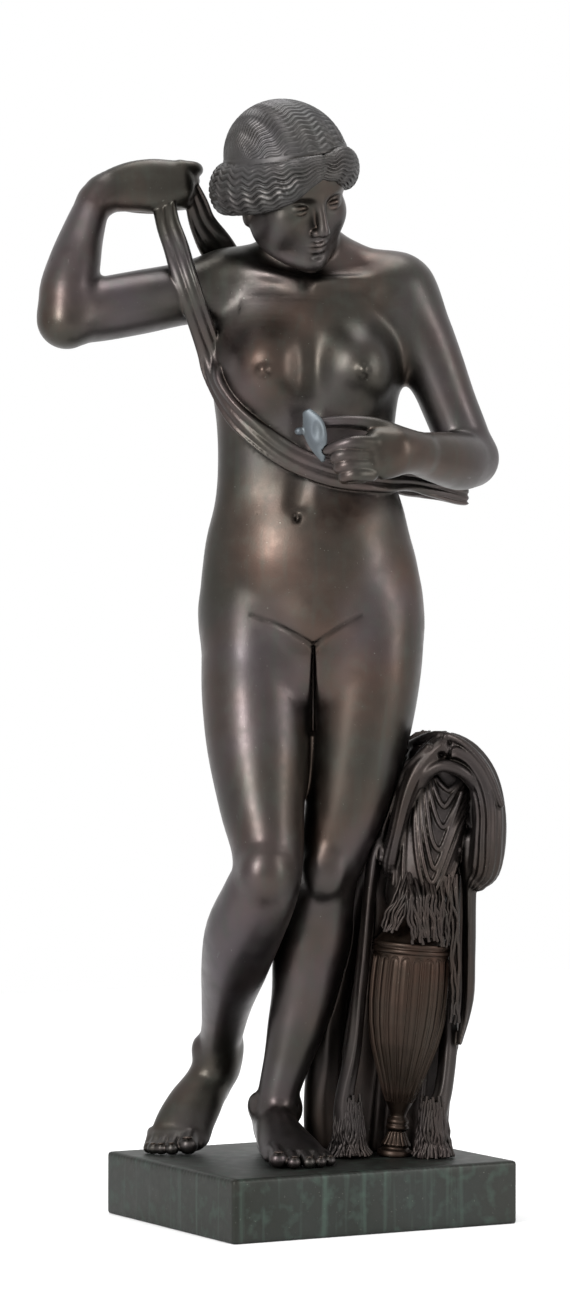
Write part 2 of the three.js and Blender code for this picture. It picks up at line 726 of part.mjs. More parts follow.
function modelHead(clay) {
  const add = (form, blend) => clay.add(placed(form, headFrame), blend);
  const cut = (form, blend) => clay.cut(placed(form, headFrame), blend);
  const pair = (work, form, blend) => [-1, 1].forEach((s) => work(form(s), blend));
  add(ellipsoid([0, 6, 28], [73, 92, 80]), 10);
  add(ellipsoid([0, -30, -26], [56, 52, 66]), 20);
  // Jaw, cheeks and the round of the mouth
  pair(add, (s) => limb([
    [s * 54, 6, -34, 14, 18],
    [s * 51, -20, -62, 14, 16],
    [s * 36, -48, -82, 14, 14],
    [s * 16, -66, -91, 14, 14],
    [0, -71, -92, 14, 14],
  ]), 18);
  pair(add, (s) => ellipsoid([s * 36, -52, -26], [26, 26, 25]), 24);
  add(ellipsoid([0, -68, -60], [27, 18, 27]), 20);
  add(ellipsoid([0, -76, -91], [19, 14, 13]), 10);
  // Brow
  add(ellipsoid([0, -42, 36], [58, 46, 46]), 20);
  pair(add, (s) => limb([[s * 48, -60, 12, 6, 6], [s * 30, -78, 18, 6, 6], [s * 9, -82, 12, 5, 5]]), 12);
  // Lowered eyes
  pair(cut, (s) => ellipsoid([s * 29, -92, 0], [17, 13, 11]), 12);
  pair(add, (s) => ellipsoid([s * 30, -68, -3], [15, 15, 11]), 3);
  // Nose
  add(limb([[0, -82, 12, 6.5, 7], [0, -90, -10, 6.5, 8], [0, -98, -32, 8, 9]]), 9);
  add(ellipsoid([0, -99, -38], [9, 9, 7.5]), 6);
  pair(add, (s) => ellipsoid([s * 9.5, -91, -41], [5.5, 8, 5.5]), 5);
  // Closed lips
  add(limb([
    [-21, -76, -64, 2.5, 3],
    [-9, -87, -60.5, 3.8, 4],
    [9, -87, -60.5, 3.8, 4],
    [21, -76, -64, 2.5, 3],
  ]), 3);
  add(limb([
    [-19, -76, -67, 2.5, 3],
    [-8, -86, -70.5, 4.4, 4.4],
    [8, -86, -70.5, 4.4, 4.4],
    [19, -76, -67, 2.5, 3],
  ]), 3);
  // Ear lobes
  pair(add, (s) => ellipsoid([s * 66, 6, -36], [7, 12, 20]), 4);
}

// Hair: locks this far apart on the waved cap, and rolls from the parting to the nape
const LOCK = 17;
const WAVE = 42;
const LOCK_DEPTH = 1.6;

function modelHair(clay) {
  const add = (form, blend) => clay.add(placed(form, headFrame), blend);
  const cap = ellipsoid([0, 12, 38], [89, 104, 87]);
  const waved = {
    box: cap.box.clone().expandByScalar(6),
    distance(x, y, z) {
      const angle = Math.atan2(z - 20, -(y - 12)) * 90;
      const lift = Math.acos(Math.max(-1, Math.min(1, x / Math.hypot(x, y - 12, z - 20) || 0))) * 90;
      const lock = Math.cos((angle + 6 * Math.sin(lift * 2 * Math.PI / WAVE)) * 2 * Math.PI / LOCK);
      const behindFace = -(y * 0.62 + z * 0.78) + 12;
      return Math.max(cap.distance(x, y, z) - LOCK_DEPTH * (lock - 1) / 2, behindFace);
    },
  };
  add(waved, 3);
  const strands = (along, u, v) => LOCK_DEPTH * (Math.cos(6 * Math.atan2(v, u) + 1.4 * Math.sin(along / 6)) - 1);
  [[-1, 1, 0], [1, 0.86, 5]].forEach(([s, height, lift]) => add(limb([
    [s * 2, -88, 62, 21, 9],
    [s * 14, -88, 60, 23, 12],
    [s * 34, -82, 53 + lift, 28, 15],
    [s * 57, -66, 37 + lift, 34 * height, 18],
    [s * 77, -30, 20 + lift, 38 * height, 21],
    [s * 86, 12, 4 + lift, 39 * height, 23],
    [s * 77, 54, -12, 39 * height, 25],
    [s * 46, 88, -24, 38, 26],
    [0, 102, -30, 36, 26],
  ], { side: Z, relief: strands }), 1.5));
}

// The sash runs from the raised hand over the chest, past the elbow to the back, and up to the hand again
function modelSash(clay) {
  const w = SASH_HALF_WIDTH;
  const t = SASH_HALF_THICKNESS;
  const folds = (along, u) => 1.5 * Math.cos(u * 4.6);
  const front = drape(clay, [
    [-162, -44, 1240, w - 1, t],
    [-149, -30, 1200, w - 1, t + 1],
    [-136, -24, 1160, w, t + 2],
    [-110, -24, 1114, w, t + 2],
    [-72, -24, 1076, w, t + 2],
    [-28, -24, 1045, w, t + 2],
    [24, -24, 1024, w, t + 2],
    [70, -24, 1015, w, t + 2],
    [108, -24, 1012, w, t + 1],
  ], -1);
  const back = drape(clay, [
    [132, 20, 1014, w - 1, t + 1],
    [92, 20, 1046, w, t + 1],
    [40, 20, 1096, w, t + 2],
    [-14, 20, 1160, w, t + 2],
    [-58, 20, 1226, w, t + 2],
    [-92, 20, 1290, w, t + 2],
    [-122, 20, 1340, w + 5, t + 1],
  ], 1);
  clay.add(limb([
    [-218, 4, 1436, w + 3, t, 0.93, -0.1, 0.3],
    [-209, -18, 1398, w + 5, t, 0.93, -0.1, 0.3],
    [-199, -46, 1360, w + 4, t, 0.93, -0.1, 0.3],
    [-189, -66, 1318, w + 1, t, 0.93, -0.1, 0.3],
    [-176, -66, 1280, w - 1, t, 0.93, -0.1, 0.3],
    ...front,
    [148, -14, 1011, w - 5, t + 1, 0, 0.1, 1],
    [190, 18, 1001, w - 6, t + 2, 0, 0, 1],
    [218, 36, 993, w - 6, t + 2, 0, 0, 1],
    [232, 51, 991, w - 6, t + 2, 0, 0, 1],
    [222, 66, 993, w - 6, t + 2, 0, 0, 1],
    [196, 71, 999, w - 6, t + 1, 0, 0, 1],
    [166, 70, 1006, w - 3, t, 0, 0.2, 1],
    ...back,
    [-145, 46, 1374, w + 7, t, 0.9, 0.3, 0.3],
    [-162, 36, 1402, w + 1, t, 0.9, 0.3, 0.3],
    [-171, 26, 1430, w - 2, t, 0.9, 0.3, 0.3],
    [-180, 18, 1456, w - 7, t, 0.9, 0.3, 0.3],
  ], { square: 3, relief: folds }), 3);
}

function modelFigure() {
  const clay = new Clay([-425, -260, SEAT_GAP - FIGURE_CELL * 2], [305, 225, 1600], FIGURE_CELL);
  modelTorso(clay);
  modelLegs(clay);
  modelFeet(clay);
  modelRaisedArm(clay);
  modelSash(clay);
  modelLoweredArm(clay);
  modelLoweredHand(clay);
  modelHead(clay);
  modelHair(clay);
  clay.floor(SEAT_GAP);
  return clay;
}

// The urn leans a little away from the leg
const urnFrame = new THREE.Matrix4().makeRotationY(radians(URN_LEAN)).setPosition(127, 0, 0);

function modelUrn(clay) {
  const r = URN_RADIUS;
  const flutes = (angle, z) => {
    if (z < 76 || z > 302) return 0;
    const fade = Math.min(1, (z - 76) / 40, (302 - z) / 6);
    return FLUTE_DEPTH * fade * (0.5 - 0.5 * Math.cos(angle * URN_FLUTES));
  };
  clay.add(placed(turned([0, 0], [
    [27, -6],
    [27, 9],
    [20, 12],
    [21, 17],
    [14.5, 28],
    [11.5, 37],
    [17.5, 42],
    [15, 48],
    [16.5, 54],
    [11.5, 60],
    [0.32 * r, 78],
    [0.45 * r, 96],
    [0.68 * r, 138],
    [0.85 * r, 170],
    [0.95 * r, 200],
    [r, 232],
    [r, 262],
    [0.96 * r, 304],
    [r + 1, 308],
    [r + 1, 322],
    [0.87 * r, 328],
    [0.57 * r, 348],
    [22, 390],
    [20, 430],
  ], flutes), urnFrame), 0);
}

// Folds that run along a roll of cloth: round ridges between valleys of this depth
function gathers(depth, folds) {
  return (along, u, v) => -depth * (0.5 + 0.5 * Math.cos(Math.atan2(v, u) * folds + 0.8 * Math.sin(along / 47)));
}

// A raised fold of cloth along points [x, z] of the surface, seen from the front
function pleat(clay, places, radius) {
  const stations = places.map(([x, z]) => [x, clay.surface(x, z, -1) - radius * 0.5, z, radius, radius * 1.3]);
  clay.add(limb(stations), 2.5);
}

function modelTowel(clay) {
  // The mass behind the urn, with upright folds
  const upright = (along, u, v) => 4 * Math.cos(Math.atan2(v, u) * 9);
  clay.add(limb([
    [120, 78, 12, 82, 32],
    [130, 76, 120, 82, 32],
    [148, 74, 240, 84, 34],
    [156, 68, 360, 80, 42],
    [154, 52, 460, 84, 52],
    [166, 44, 530, 80, 58],
    [176, 44, 574, 60, 50],
    [180, 44, 600, 34, 32],
  ], { relief: upright, square: 2.4 }), 0);
  // Falls at both sides of the urn, and a wider one behind on the left
  const creased = gathers(2.2, 6);
  clay.add(limb([
    [100, 4, 470, 16, 26],
    [91, -2, 414, 11, 24],
    [77, -8, 272, 11, 24],
    [64, -12, 160, 13, 24],
    [50, -16, 74, 18, 24],
    [58, -18, 8, 28, 26],
  ], { relief: creased }), 5);
  clay.add(limb([
    [240, 14, 470, 22, 28],
    [239, 8, 407, 12, 24],
    [238, 2, 310, 11, 22],
    [236, 0, 235, 10, 20],
    [224, -2, 170, 4, 10],
  ], { relief: creased }), 5);
  clay.add(limb([
    [206, 34, 250, 16, 24],
    [208, 20, 170, 15, 24],
    [200, 0, 100, 16, 24],
    [188, -14, 60, 22, 24],
    [183, -18, 8, 28, 26],
  ], { relief: creased }), 8);
  clay.add(limb([
    [76, 60, 420, 26, 30],
    [50, 60, 300, 24, 28],
    [26, 60, 180, 26, 28],
    [18, 62, 90, 28, 28],
    [20, 62, 12, 30, 28],
  ], { relief: creased }), 8);
  // The hanging front, with pleats that swing across it
  clay.add(limb([
    [190, 20, 596, 44, 26],
    [188, 10, 548, 48, 32],
    [180, 4, 490, 50, 40],
    [170, 0, 432, 50, 46],
    [160, 0, 396, 46, 44],
  ], { square: 2.4 }), 4);
  [
    [[182, 566], [190, 540], [200, 526], [212, 540], [227, 562]],
    [[176, 568], [181, 536], [189, 508], [199, 495], [211, 514], [223, 540], [232, 558]],
    [[166, 568], [168, 508], [175, 462], [185, 434], [201, 466], [220, 514], [233, 536]],
    [[158, 566], [156, 492], [162, 432], [176, 392], [190, 408], [212, 462], [232, 512]],
    [[150, 562], [142, 490], [138, 424], [140, 396]],
    [[141, 552], [131, 474], [124, 410]],
  ].forEach((places) => pleat(clay, places, 4.6));
  // The dark channel beside the pleats
  clay.cut(limb([
    [236, -34, 566, 5, 20],
    [238, -38, 500, 6, 24],
    [236, -38, 440, 6, 24],
    [234, -34, 410, 5, 20],
  ]), 5);
  // The roll behind, and the great roll that arches over the top with a loop at each end
  clay.add(limb([
    [128, 56, 540, 26, 46],
    [176, 40, 590, 27, 58],
    [226, 44, 556, 29, 54],
    [250, 48, 484, 26, 44],
  ], { relief: gathers(3.5, 6) }), 8);
  clay.add(limb([
    [118, -12, 428, 9, 14],
    [119, -20, 446, 14, 22],
    [127, -24, 484, 13, 26],
    [141, -26, 535, 15, 28],
    [162, -24, 580, 18, 30],
    [195, -20, 612, 22, 32],
  ], { relief: gathers(2.6, 5) }), 5);
  clay.add(limb([
    [162, -22, 578, 18, 30],
    [195, -20, 612, 22, 32],
    [230, -18, 604, 23, 34],
    [256, -16, 570, 24, 36],
    [268, -14, 520, 25, 38],
    [267, -12, 468, 26, 38],
    [261, -10, 432, 24, 32],
    [250, -8, 414, 17, 22],
  ], { relief: gathers(4.2, 7) }), 5);
  // The lip across the top of the hanging front, and the dark opening above it
  clay.add(limb([
    [166, -36, 560, 7, 10],
    [176, -44, 577, 9, 12],
    [194, -48, 587, 9.5, 12],
    [214, -48, 584, 9.5, 12],
    [232, -42, 573, 9, 12],
    [244, -32, 556, 7, 10],
  ], { side: Z }), 4);
  clay.cut(ellipsoid([196, -58, 603], [7, 22, 6]), 3);
  // Fringed bunches over the urn's shoulder, as [top x, bottom x, bottom z], and a strip beside the urn
  const strand = (stations) => clay.add(limb(stations), 3);
  const bunches = [
    [140, 108, 352],
    [147, 122, 344],
    [150, 152, 336],
    [156, 166, 326],
    [172, 180, 330],
    [182, 194, 330],
    [198, 206, 324],
  ];
  bunches.forEach(([top, bottom, z]) => strand([
    [top, -34, 424, 6, 7],
    [(top + bottom) / 2, -60, 385, 6, 6],
    [bottom, -Math.sqrt((URN_RADIUS + 2) ** 2 - (bottom - 153) ** 2) - 2, z, 5, 5],
  ]));
  [-30, -16].forEach((y) => strand([
    [212, y, 424, 6, 7],
    [214, y, 350, 6, 7],
    [216, y + 4, 290, 6, 7],
    [215, y + 8, 206, 4, 5],
  ]));
  // Fringed ends on the plinth
  [58, 183].forEach((x) => {
    for (let i = 0; i < 9; i++) {
      const angle = Math.PI * (0.86 + i * 0.16);
      const [dx, dy] = [Math.cos(angle), Math.sin(angle)];
      strand([
        [x + dx * 18, dy * 18 - 18, 80, 5, 5],
        [x + dx * 22, dy * 20 - 18, 38, 5, 5],
        [x + dx * 31, dy * 28 - 18, 3, 5, 5],
      ]);
    }
  });
}

function modelDrapedUrn(figure) {
  const clay = new Clay([-20, -90, SEAT_GAP - URN_CELL * 2], [310, 150, 670], URN_CELL);
  modelTowel(clay);
  modelUrn(clay);
  clay.cut(figure.grown(URN_GAP));
  clay.floor(SEAT_GAP);
  return clay;
}

// The small dished plate in the lowered hand
function modelClasp(figure) {
  const clay = new Clay([-40, -270, 1000], [90, -140, 1130], CLASP_CELL);
  clay.add(limb([
    [-6, -212, 1108, 8, 3.5],
    [2, -214, 1091, 17, 4.5],
    [7, -215, 1073, 18, 4.5],
    [12, -214, 1055, 13, 4],
    [17, -212, 1038, 4, 3],
  ], { side: [0.9, -0.45, 0.2] }), 0);
  clay.add(ellipsoid([-17, -205, 1080], [7, 6, 6]), 5);
  clay.cut(ellipsoid([4, -229, 1076], [14, 11, 26]), 2);
  clay.cut(figure.grown(CLASP_GAP));
  return clay;
}

function standOnPlinth(clay, triangles) {
  const thinned = thin(clay.toMesh(), triangles);
  thinned.points.forEach((p) => { p[2] = Math.max(p[2], SEAT_GAP); });
  const made = geometry(thinned);
  const share = FIGURE_HEIGHT / MODEL_HEIGHT;
  made.scale(share, share, share);
  made.rotateZ(radians(FACING));
  made.translate(0, 0, PLINTH_HEIGHT);
  return made;
}

// A block with its edges eased
function plinthBlock() {
  const b = PLINTH_BEVEL;
  const ring = (inset, z) => {
    const [x, y] = [PLINTH_LENGTH / 2 - inset, PLINTH_WIDTH / 2 - inset];
    const corner = (sx, sy, turn) => {
      const pair = [[sx * x, sy * (y - b), z], [sx * (x - b), sy * y, z]];
      return turn ? pair.reverse() : pair;
    };
    return [...corner(1, 1, false), ...corner(-1, 1, true), ...corner(-1, -1, false), ...corner(1, -1, true)];
  };
  const rings = [ring(b, 0), ring(0, b), ring(0, PLINTH_HEIGHT - b), ring(b, PLINTH_HEIGHT)];
  const points = rings.flat();
  const n = rings[0].length;
  const faces = [];
  for (let r = 0; r < rings.length - 1; r++) {
    for (let i = 0; i < n; i++) {
      const [a, c] = [r * n + i, r * n + (i + 1) % n];
      faces.push([a, c, c + n], [a, c + n, a + n]);
    }
  }
  const top = (rings.length - 1) * n;
  for (let i = 1; i < n - 1; i++) faces.push([0, i + 1, i], [top, top + i, top + i + 1]);
  return geometry({ points, faces });
}

function piece(name, shape, material) {
  const mesh = new THREE.Mesh(shape, material);
  mesh.name = name;
  return mesh;
}

function metal(name, color, roughness) {
  return new THREE.MeshStandardMaterial({ name, color, metalness: 0.8, roughness });
}

const bronze = metal('patinated_bronze', 0x453c33, 0.45);
const cloth = metal('dark_bronze', 0x3b2f27, 0.5);
const block = metal('weathered_bronze', 0x33352f, 0.6);
const grey = metal('grey_bronze', 0x6f7678, 0.5);

const group = new THREE.Group();
group.name = 'bronze_bather';
group.add(piece('plinth', plinthBlock(), block));
const figure = modelFigure();
group.add(piece('figure', standOnPlinth(figure, FIGURE_TRIANGLES), bronze));
group.add(piece('draped_urn', standOnPlinth(modelDrapedUrn(figure), URN_TRIANGLES), cloth));
group.add(piece('clasp_plate', standOnPlinth(modelClasp(figure), CLASP_TRIANGLES), grey));

export default group;
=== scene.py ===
"""A bronze bather with a sash, beside a fluted urn under a fringed towel, on a bronze plinth.

The bronzes are modelled as clay: soft forms are blended into a distance field, in millimetres, with the
viewer facing +Y and the plinth's top at z = 0. The field is then skinned with a fine mesh, which is turned,
scaled to metres and set on the plinth.
"""
import math

import bpy
import numpy as np
from mathutils import Matrix, Vector


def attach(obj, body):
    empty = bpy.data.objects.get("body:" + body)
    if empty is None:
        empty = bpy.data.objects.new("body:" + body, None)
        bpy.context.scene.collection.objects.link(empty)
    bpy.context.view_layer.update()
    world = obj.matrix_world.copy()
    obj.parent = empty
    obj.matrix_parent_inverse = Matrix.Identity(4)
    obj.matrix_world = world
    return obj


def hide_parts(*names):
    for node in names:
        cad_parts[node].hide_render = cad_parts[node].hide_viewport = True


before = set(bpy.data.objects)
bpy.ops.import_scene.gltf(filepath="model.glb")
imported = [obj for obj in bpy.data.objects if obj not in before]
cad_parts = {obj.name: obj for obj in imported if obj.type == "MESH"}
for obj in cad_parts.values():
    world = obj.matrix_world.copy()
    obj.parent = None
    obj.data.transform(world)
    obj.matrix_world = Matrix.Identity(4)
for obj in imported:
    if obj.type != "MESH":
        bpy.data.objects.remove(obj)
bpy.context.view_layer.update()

# Sizes in millimetres, as in the part's source but for the gaps, which are finer here
PLINTH_LENGTH = 480
PLINTH_WIDTH = 404
PLINTH_HEIGHT = 94
PLINTH_EDGE = 2.5
SEAT_GAP = 0.3
TOWEL_GAP = 1.5
CLASP_GAP = 0.6
FACING = -29
SASH_HALF_WIDTH = 19
SASH_HALF_THICKNESS = 5
# The direction of the sash's width where it hangs from the raised hand
FRONT_ACROSS = (0.93, -0.1, 0.3)
URN_LEAN = 4.7
URN_FLUTES = 20
FLUTE_DEPTH = 3.5

# The skin's cell in millimetres, and the most triangles that each piece keeps
FINE_CELL = 1.8
HAIR_CELL = 1.2
CLASP_CELL = 1.0
PLINTH_CELL = 4.0
FIGURE_TRIANGLES = 180000
HAIR_TRIANGLES = 185000
TOWEL_TRIANGLES = 180000
CLASP_TRIANGLES = 6000
PLINTH_TRIANGLES = 30000

# The box that each piece is cast in, in the modelling frame, as its low and its high corner
FIGURE_BOX = ((-425, -280, -6), (305, 225, 1610))
HAIR_BOX = ((-170, -210, 1340), (100, 90, 1610))
TOWEL_BOX = ((-20, -110, -6), (310, 150, 680))
LEG_BOX = ((-30, -100, -10), (180, 160, 680))
CLASP_BOX = ((-40, -270, 1000), (90, -140, 1130))
PLINTH_BOX = ((-440, -400, -100), (440, 400, 6))

# Cells along a block's side, half a cube's diagonal as a share of its side, how far a blended field may be
# wrong away from its surface, and the distance that stands for empty space
BLOCK = 8
HALF_DIAGONAL = 0.87
FIELD_SLACK = 7
FAR = 60.0
# How far from the surface the field is worked out for the patina and where casts meet
NEAR = 12

X = (1, 0, 0)
Z = (0, 0, 1)


# Forms and clay
def turn(x, y, z):
    """The rotation that turns about X, then Y, then Z, in degrees."""
    cx, cy, cz = (math.cos(math.radians(v)) for v in (x, y, z))
    sx, sy, sz = (math.sin(math.radians(v)) for v in (x, y, z))
    about_x = np.array([[1, 0, 0], [0, cx, -sx], [0, sx, cx]])
    about_y = np.array([[cy, 0, sy], [0, 1, 0], [-sy, 0, cy]])
    about_z = np.array([[cz, -sz, 0], [sz, cz, 0], [0, 0, 1]])
    return about_z @ about_y @ about_x


def soften(a, b, blend):
    """The union of two distances, with a fillet about as wide as blend."""
    if blend <= 0:
        return np.minimum(a, b)
    near = np.maximum(blend - np.abs(a - b), 0) / blend
    return np.minimum(a, b) - near * near * blend / 4


class Form:
    """A shape: the box that holds it, and the distance from its surface, which is negative inside."""

    def __init__(self, low, high, distance):
        self.low = np.asarray(low, float)
        self.high = np.asarray(high, float)
        self.distance = distance


def spline_rows(stations, steps):
    """Rows of numbers on a smooth curve through the stations, with so many steps from each to the next."""
    rows = []
    last = len(stations) - 1
    table = np.array(stations, float)
    for i in range(last * steps + 1):
        k = min(i // steps, last - 1)
        t = i / steps - k
        a, b, c, d = (table[min(max(j, 0), last)] for j in (k - 1, k, k + 1, k + 2))
        rows.append(0.5 * (2 * b + (c - a) * t + (2 * a - 5 * b + 4 * c - d) * t * t
                           + (3 * b - a - 3 * c + d) * t ** 3))
    return np.array(rows)


def limb(stations, side=X, square=2, relief=None, steps=5):
    """A swept form through stations [x, y, z, half width, half depth]. side points along the half widths,
    unless each station ends with a direction of its own. relief is how far the skin is raised, by the
    length along the form and the place across it."""
    rows = spline_rows(stations, steps)
    points = rows[:, :3]
    count = len(rows)
    ahead = points[np.minimum(np.arange(count) + 1, count - 1)]
    behind = points[np.maximum(np.arange(count) - 1, 0)]
    tangent = ahead - behind
    tangent /= np.linalg.norm(tangent, axis=1)[:, None]
    across = rows[:, 5:8].copy() if rows.shape[1] > 5 else np.tile(np.array(side, float), (count, 1))
    across -= tangent * np.sum(across * tangent, axis=1)[:, None]
    across /= np.linalg.norm(across, axis=1)[:, None]
    deep = np.cross(tangent, across)
    along = np.concatenate([[0], np.cumsum(np.linalg.norm(np.diff(points, axis=0), axis=1))])
    # The box leaves room for the corners and for relief
    reach = rows[:, 3:5].max() * 1.15 + 3
    middle = points.mean(axis=0)
    data = np.hstack([points - middle, rows[:, 3:5], across, deep, along[:, None]]).astype(np.float32)
    steps_to = np.diff(data, axis=0)
    lengths = np.sum(steps_to[:, :3] ** 2, axis=1)
    centres = data[:, :3].T.copy()
    squares = np.sum(centres ** 2, axis=0)

    def distance(p):
        # The nearest row, then the nearer of the two stretches that meet there
        p = (p - middle).astype(np.float32)
        near = np.argmin(squares - 2 * (p @ centres), axis=1)
        first = np.clip(near - 1, 0, count - 2)
        second = np.clip(near, 0, count - 2)
        found = []
        for pick in (first, second):
            to = p - data[pick, :3]
            step = steps_to[pick, :3]
            share = np.clip(np.einsum("ij,ij->i", to, step) / lengths[pick], 0, 1)
            to -= step * share[:, None]
            found.append((share, np.einsum("ij,ij->i", to, to)))
        nearer = found[1][1] < found[0][1]
        pick = np.where(nearer, second, first)
        share = np.where(nearer, found[1][0], found[0][0])
        q = data[pick] + steps_to[pick] * share[:, None]
        to = p - q[:, :3]
        a, b = q[:, 3], q[:, 4]
        u = np.einsum("ij,ij->i", to, q[:, 5:8]) / a
        v = np.einsum("ij,ij->i", to, q[:, 8:11]) / b
        # Across it the form is an oval, or squarer. Its value over its slope is nearly a distance
        m = np.minimum(a, b)
        w2 = np.maximum(np.einsum("ij,ij->i", to, to) - (u * a) ** 2 - (v * b) ** 2, 0) / (m * m)
        if square == 2:
            k = np.sqrt(u * u + v * v + w2) + 1e-6
            slope = np.sqrt((u / a) ** 2 + (v / b) ** 2 + w2 / (m * m)) / k
        else:
            fu, fv, fw = np.abs(u) + 1e-6, np.abs(v) + 1e-6, np.sqrt(w2) + 1e-6
            k = (fu ** square + fv ** square + fw ** square) ** (1 / square)
            e = square - 1
            slope = np.sqrt((fu ** e / a) ** 2 + (fv ** e / b) ** 2 + (fw ** e / m) ** 2) / k ** e
        out = (k - 1) / np.maximum(slope, 1e-4)
        return out - relief(q[:, 11], u, v) if relief else out

    return Form(points.min(axis=0) - reach, points.max(axis=0) + reach, distance)


def ellipsoid(centre, radii, tilt=(0, 0, 0)):
    """An egg shape, tilted by degrees about x, y and z."""
    centre = np.array(centre, float)
    radii = np.array(radii, float)
    about_x, about_y, about_z = turn(tilt[0], 0, 0), turn(0, tilt[1], 0), turn(0, 0, tilt[2])
    to_local = about_x @ about_y @ about_z

    def distance(p):
        local = ((p - centre) @ to_local) / radii
        k = np.sqrt(np.einsum("ij,ij->i", local, local)) + 1e-9
        return k * (k - 1) / (np.linalg.norm(local / radii, axis=1) + 1e-9)

    return Form(centre - radii.max(), centre + radii.max(), distance)


def placed(form, rotation, origin):
    """A form that was written in a part's own frame, such as the head's."""
    origin = np.array(origin, float)
    corners = np.array([[(form.low, form.high)[n >> i & 1][i] for i in range(3)] for n in range(8)])
    corners = corners @ rotation.T + origin
    return Form(corners.min(axis=0), corners.max(axis=0), lambda p: form.distance((p - origin) @ rotation))


def below(level):
    """All that lies under a height."""
    wide = 1e4
    return Form((-wide, -wide, -wide), (wide, wide, level), lambda p: p[:, 2] - level)


class Clay:
    """Forms that are added and cut in turn."""

    def __init__(self):
        self.work = []

    def add(self, form, blend=0):
        self.work.append((form, blend, 1))

    def cut(self, form, blend=0):
        self.work.append((form, blend, -1))

    @staticmethod
    def apply(old, new, blend, sign):
        """One field with another added to it, or cut from it."""
        return soften(old, new, blend) if sign > 0 else -soften(-old, new, blend)

    def value(self, points, margin=30):
        """The distance at each point, true up to the margin."""
        points = np.asarray(points, float)
        field = np.full(len(points), FAR)
        for form, blend, sign in self.work:
            reach = blend + margin
            near = np.all((points > form.low - reach) & (points < form.high + reach), axis=1)
            if near.any():
                field[near] = self.apply(field[near], form.distance(points[near]), blend, sign)
        return field

    def on_blocks(self, corners, offsets, span, margin):
        """The field at the offsets in every block, block by block."""
        field = np.full((len(corners), len(offsets)), FAR, np.float32)
        for form, blend, sign in self.work:
            reach = blend + margin
            near = (corners + span > form.low - reach) & (corners < form.high + reach)
            hit = np.nonzero(near.all(axis=1))[0]
            if not len(hit):
                continue
            for part in np.array_split(hit, math.ceil(len(hit) * len(offsets) / 120000)):
                p = (corners[part][:, None] + offsets).reshape(-1, 3)
                d = form.distance(p).reshape(len(part), -1)
                field[part] = self.apply(field[part], d, blend, sign)
        return field

    def surface(self, x, z, view):
        """How far front (view -1) or back (view 1) the form reaches at x and z."""
        y = np.arange(-300, 300, 2.0) * -view
        values = self.value(np.column_stack([np.full(len(y), x), y, np.full(len(y), z)]))
        inside = np.nonzero(values < 0)[0]
        if not len(inside):
            return None
        i = inside[0]
        return y[i - 1] + (y[i] - y[i - 1]) * values[i - 1] / (values[i - 1] - values[i])

    def slope(self, place, reach=8):
        """The direction out of the clay at a place on its surface."""
        steps = np.vstack([np.eye(3), -np.eye(3)]) * reach
        values = self.value(np.array(place) + steps)
        normal = values[:3] - values[3:]
        return normal / np.linalg.norm(normal)

    def grown(self, margin, low, high):
        """This model as one form inside a box, larger by a margin."""
        return Form(low, high, lambda p: self.value(p, NEAR) - margin)


def lattice(count):
    """The whole-number places in a cube, so many to a side."""
    axis = np.arange(count)
    return np.stack(np.meshgrid(axis, axis, axis, indexing="ij"), axis=-1).reshape(-1, 3)


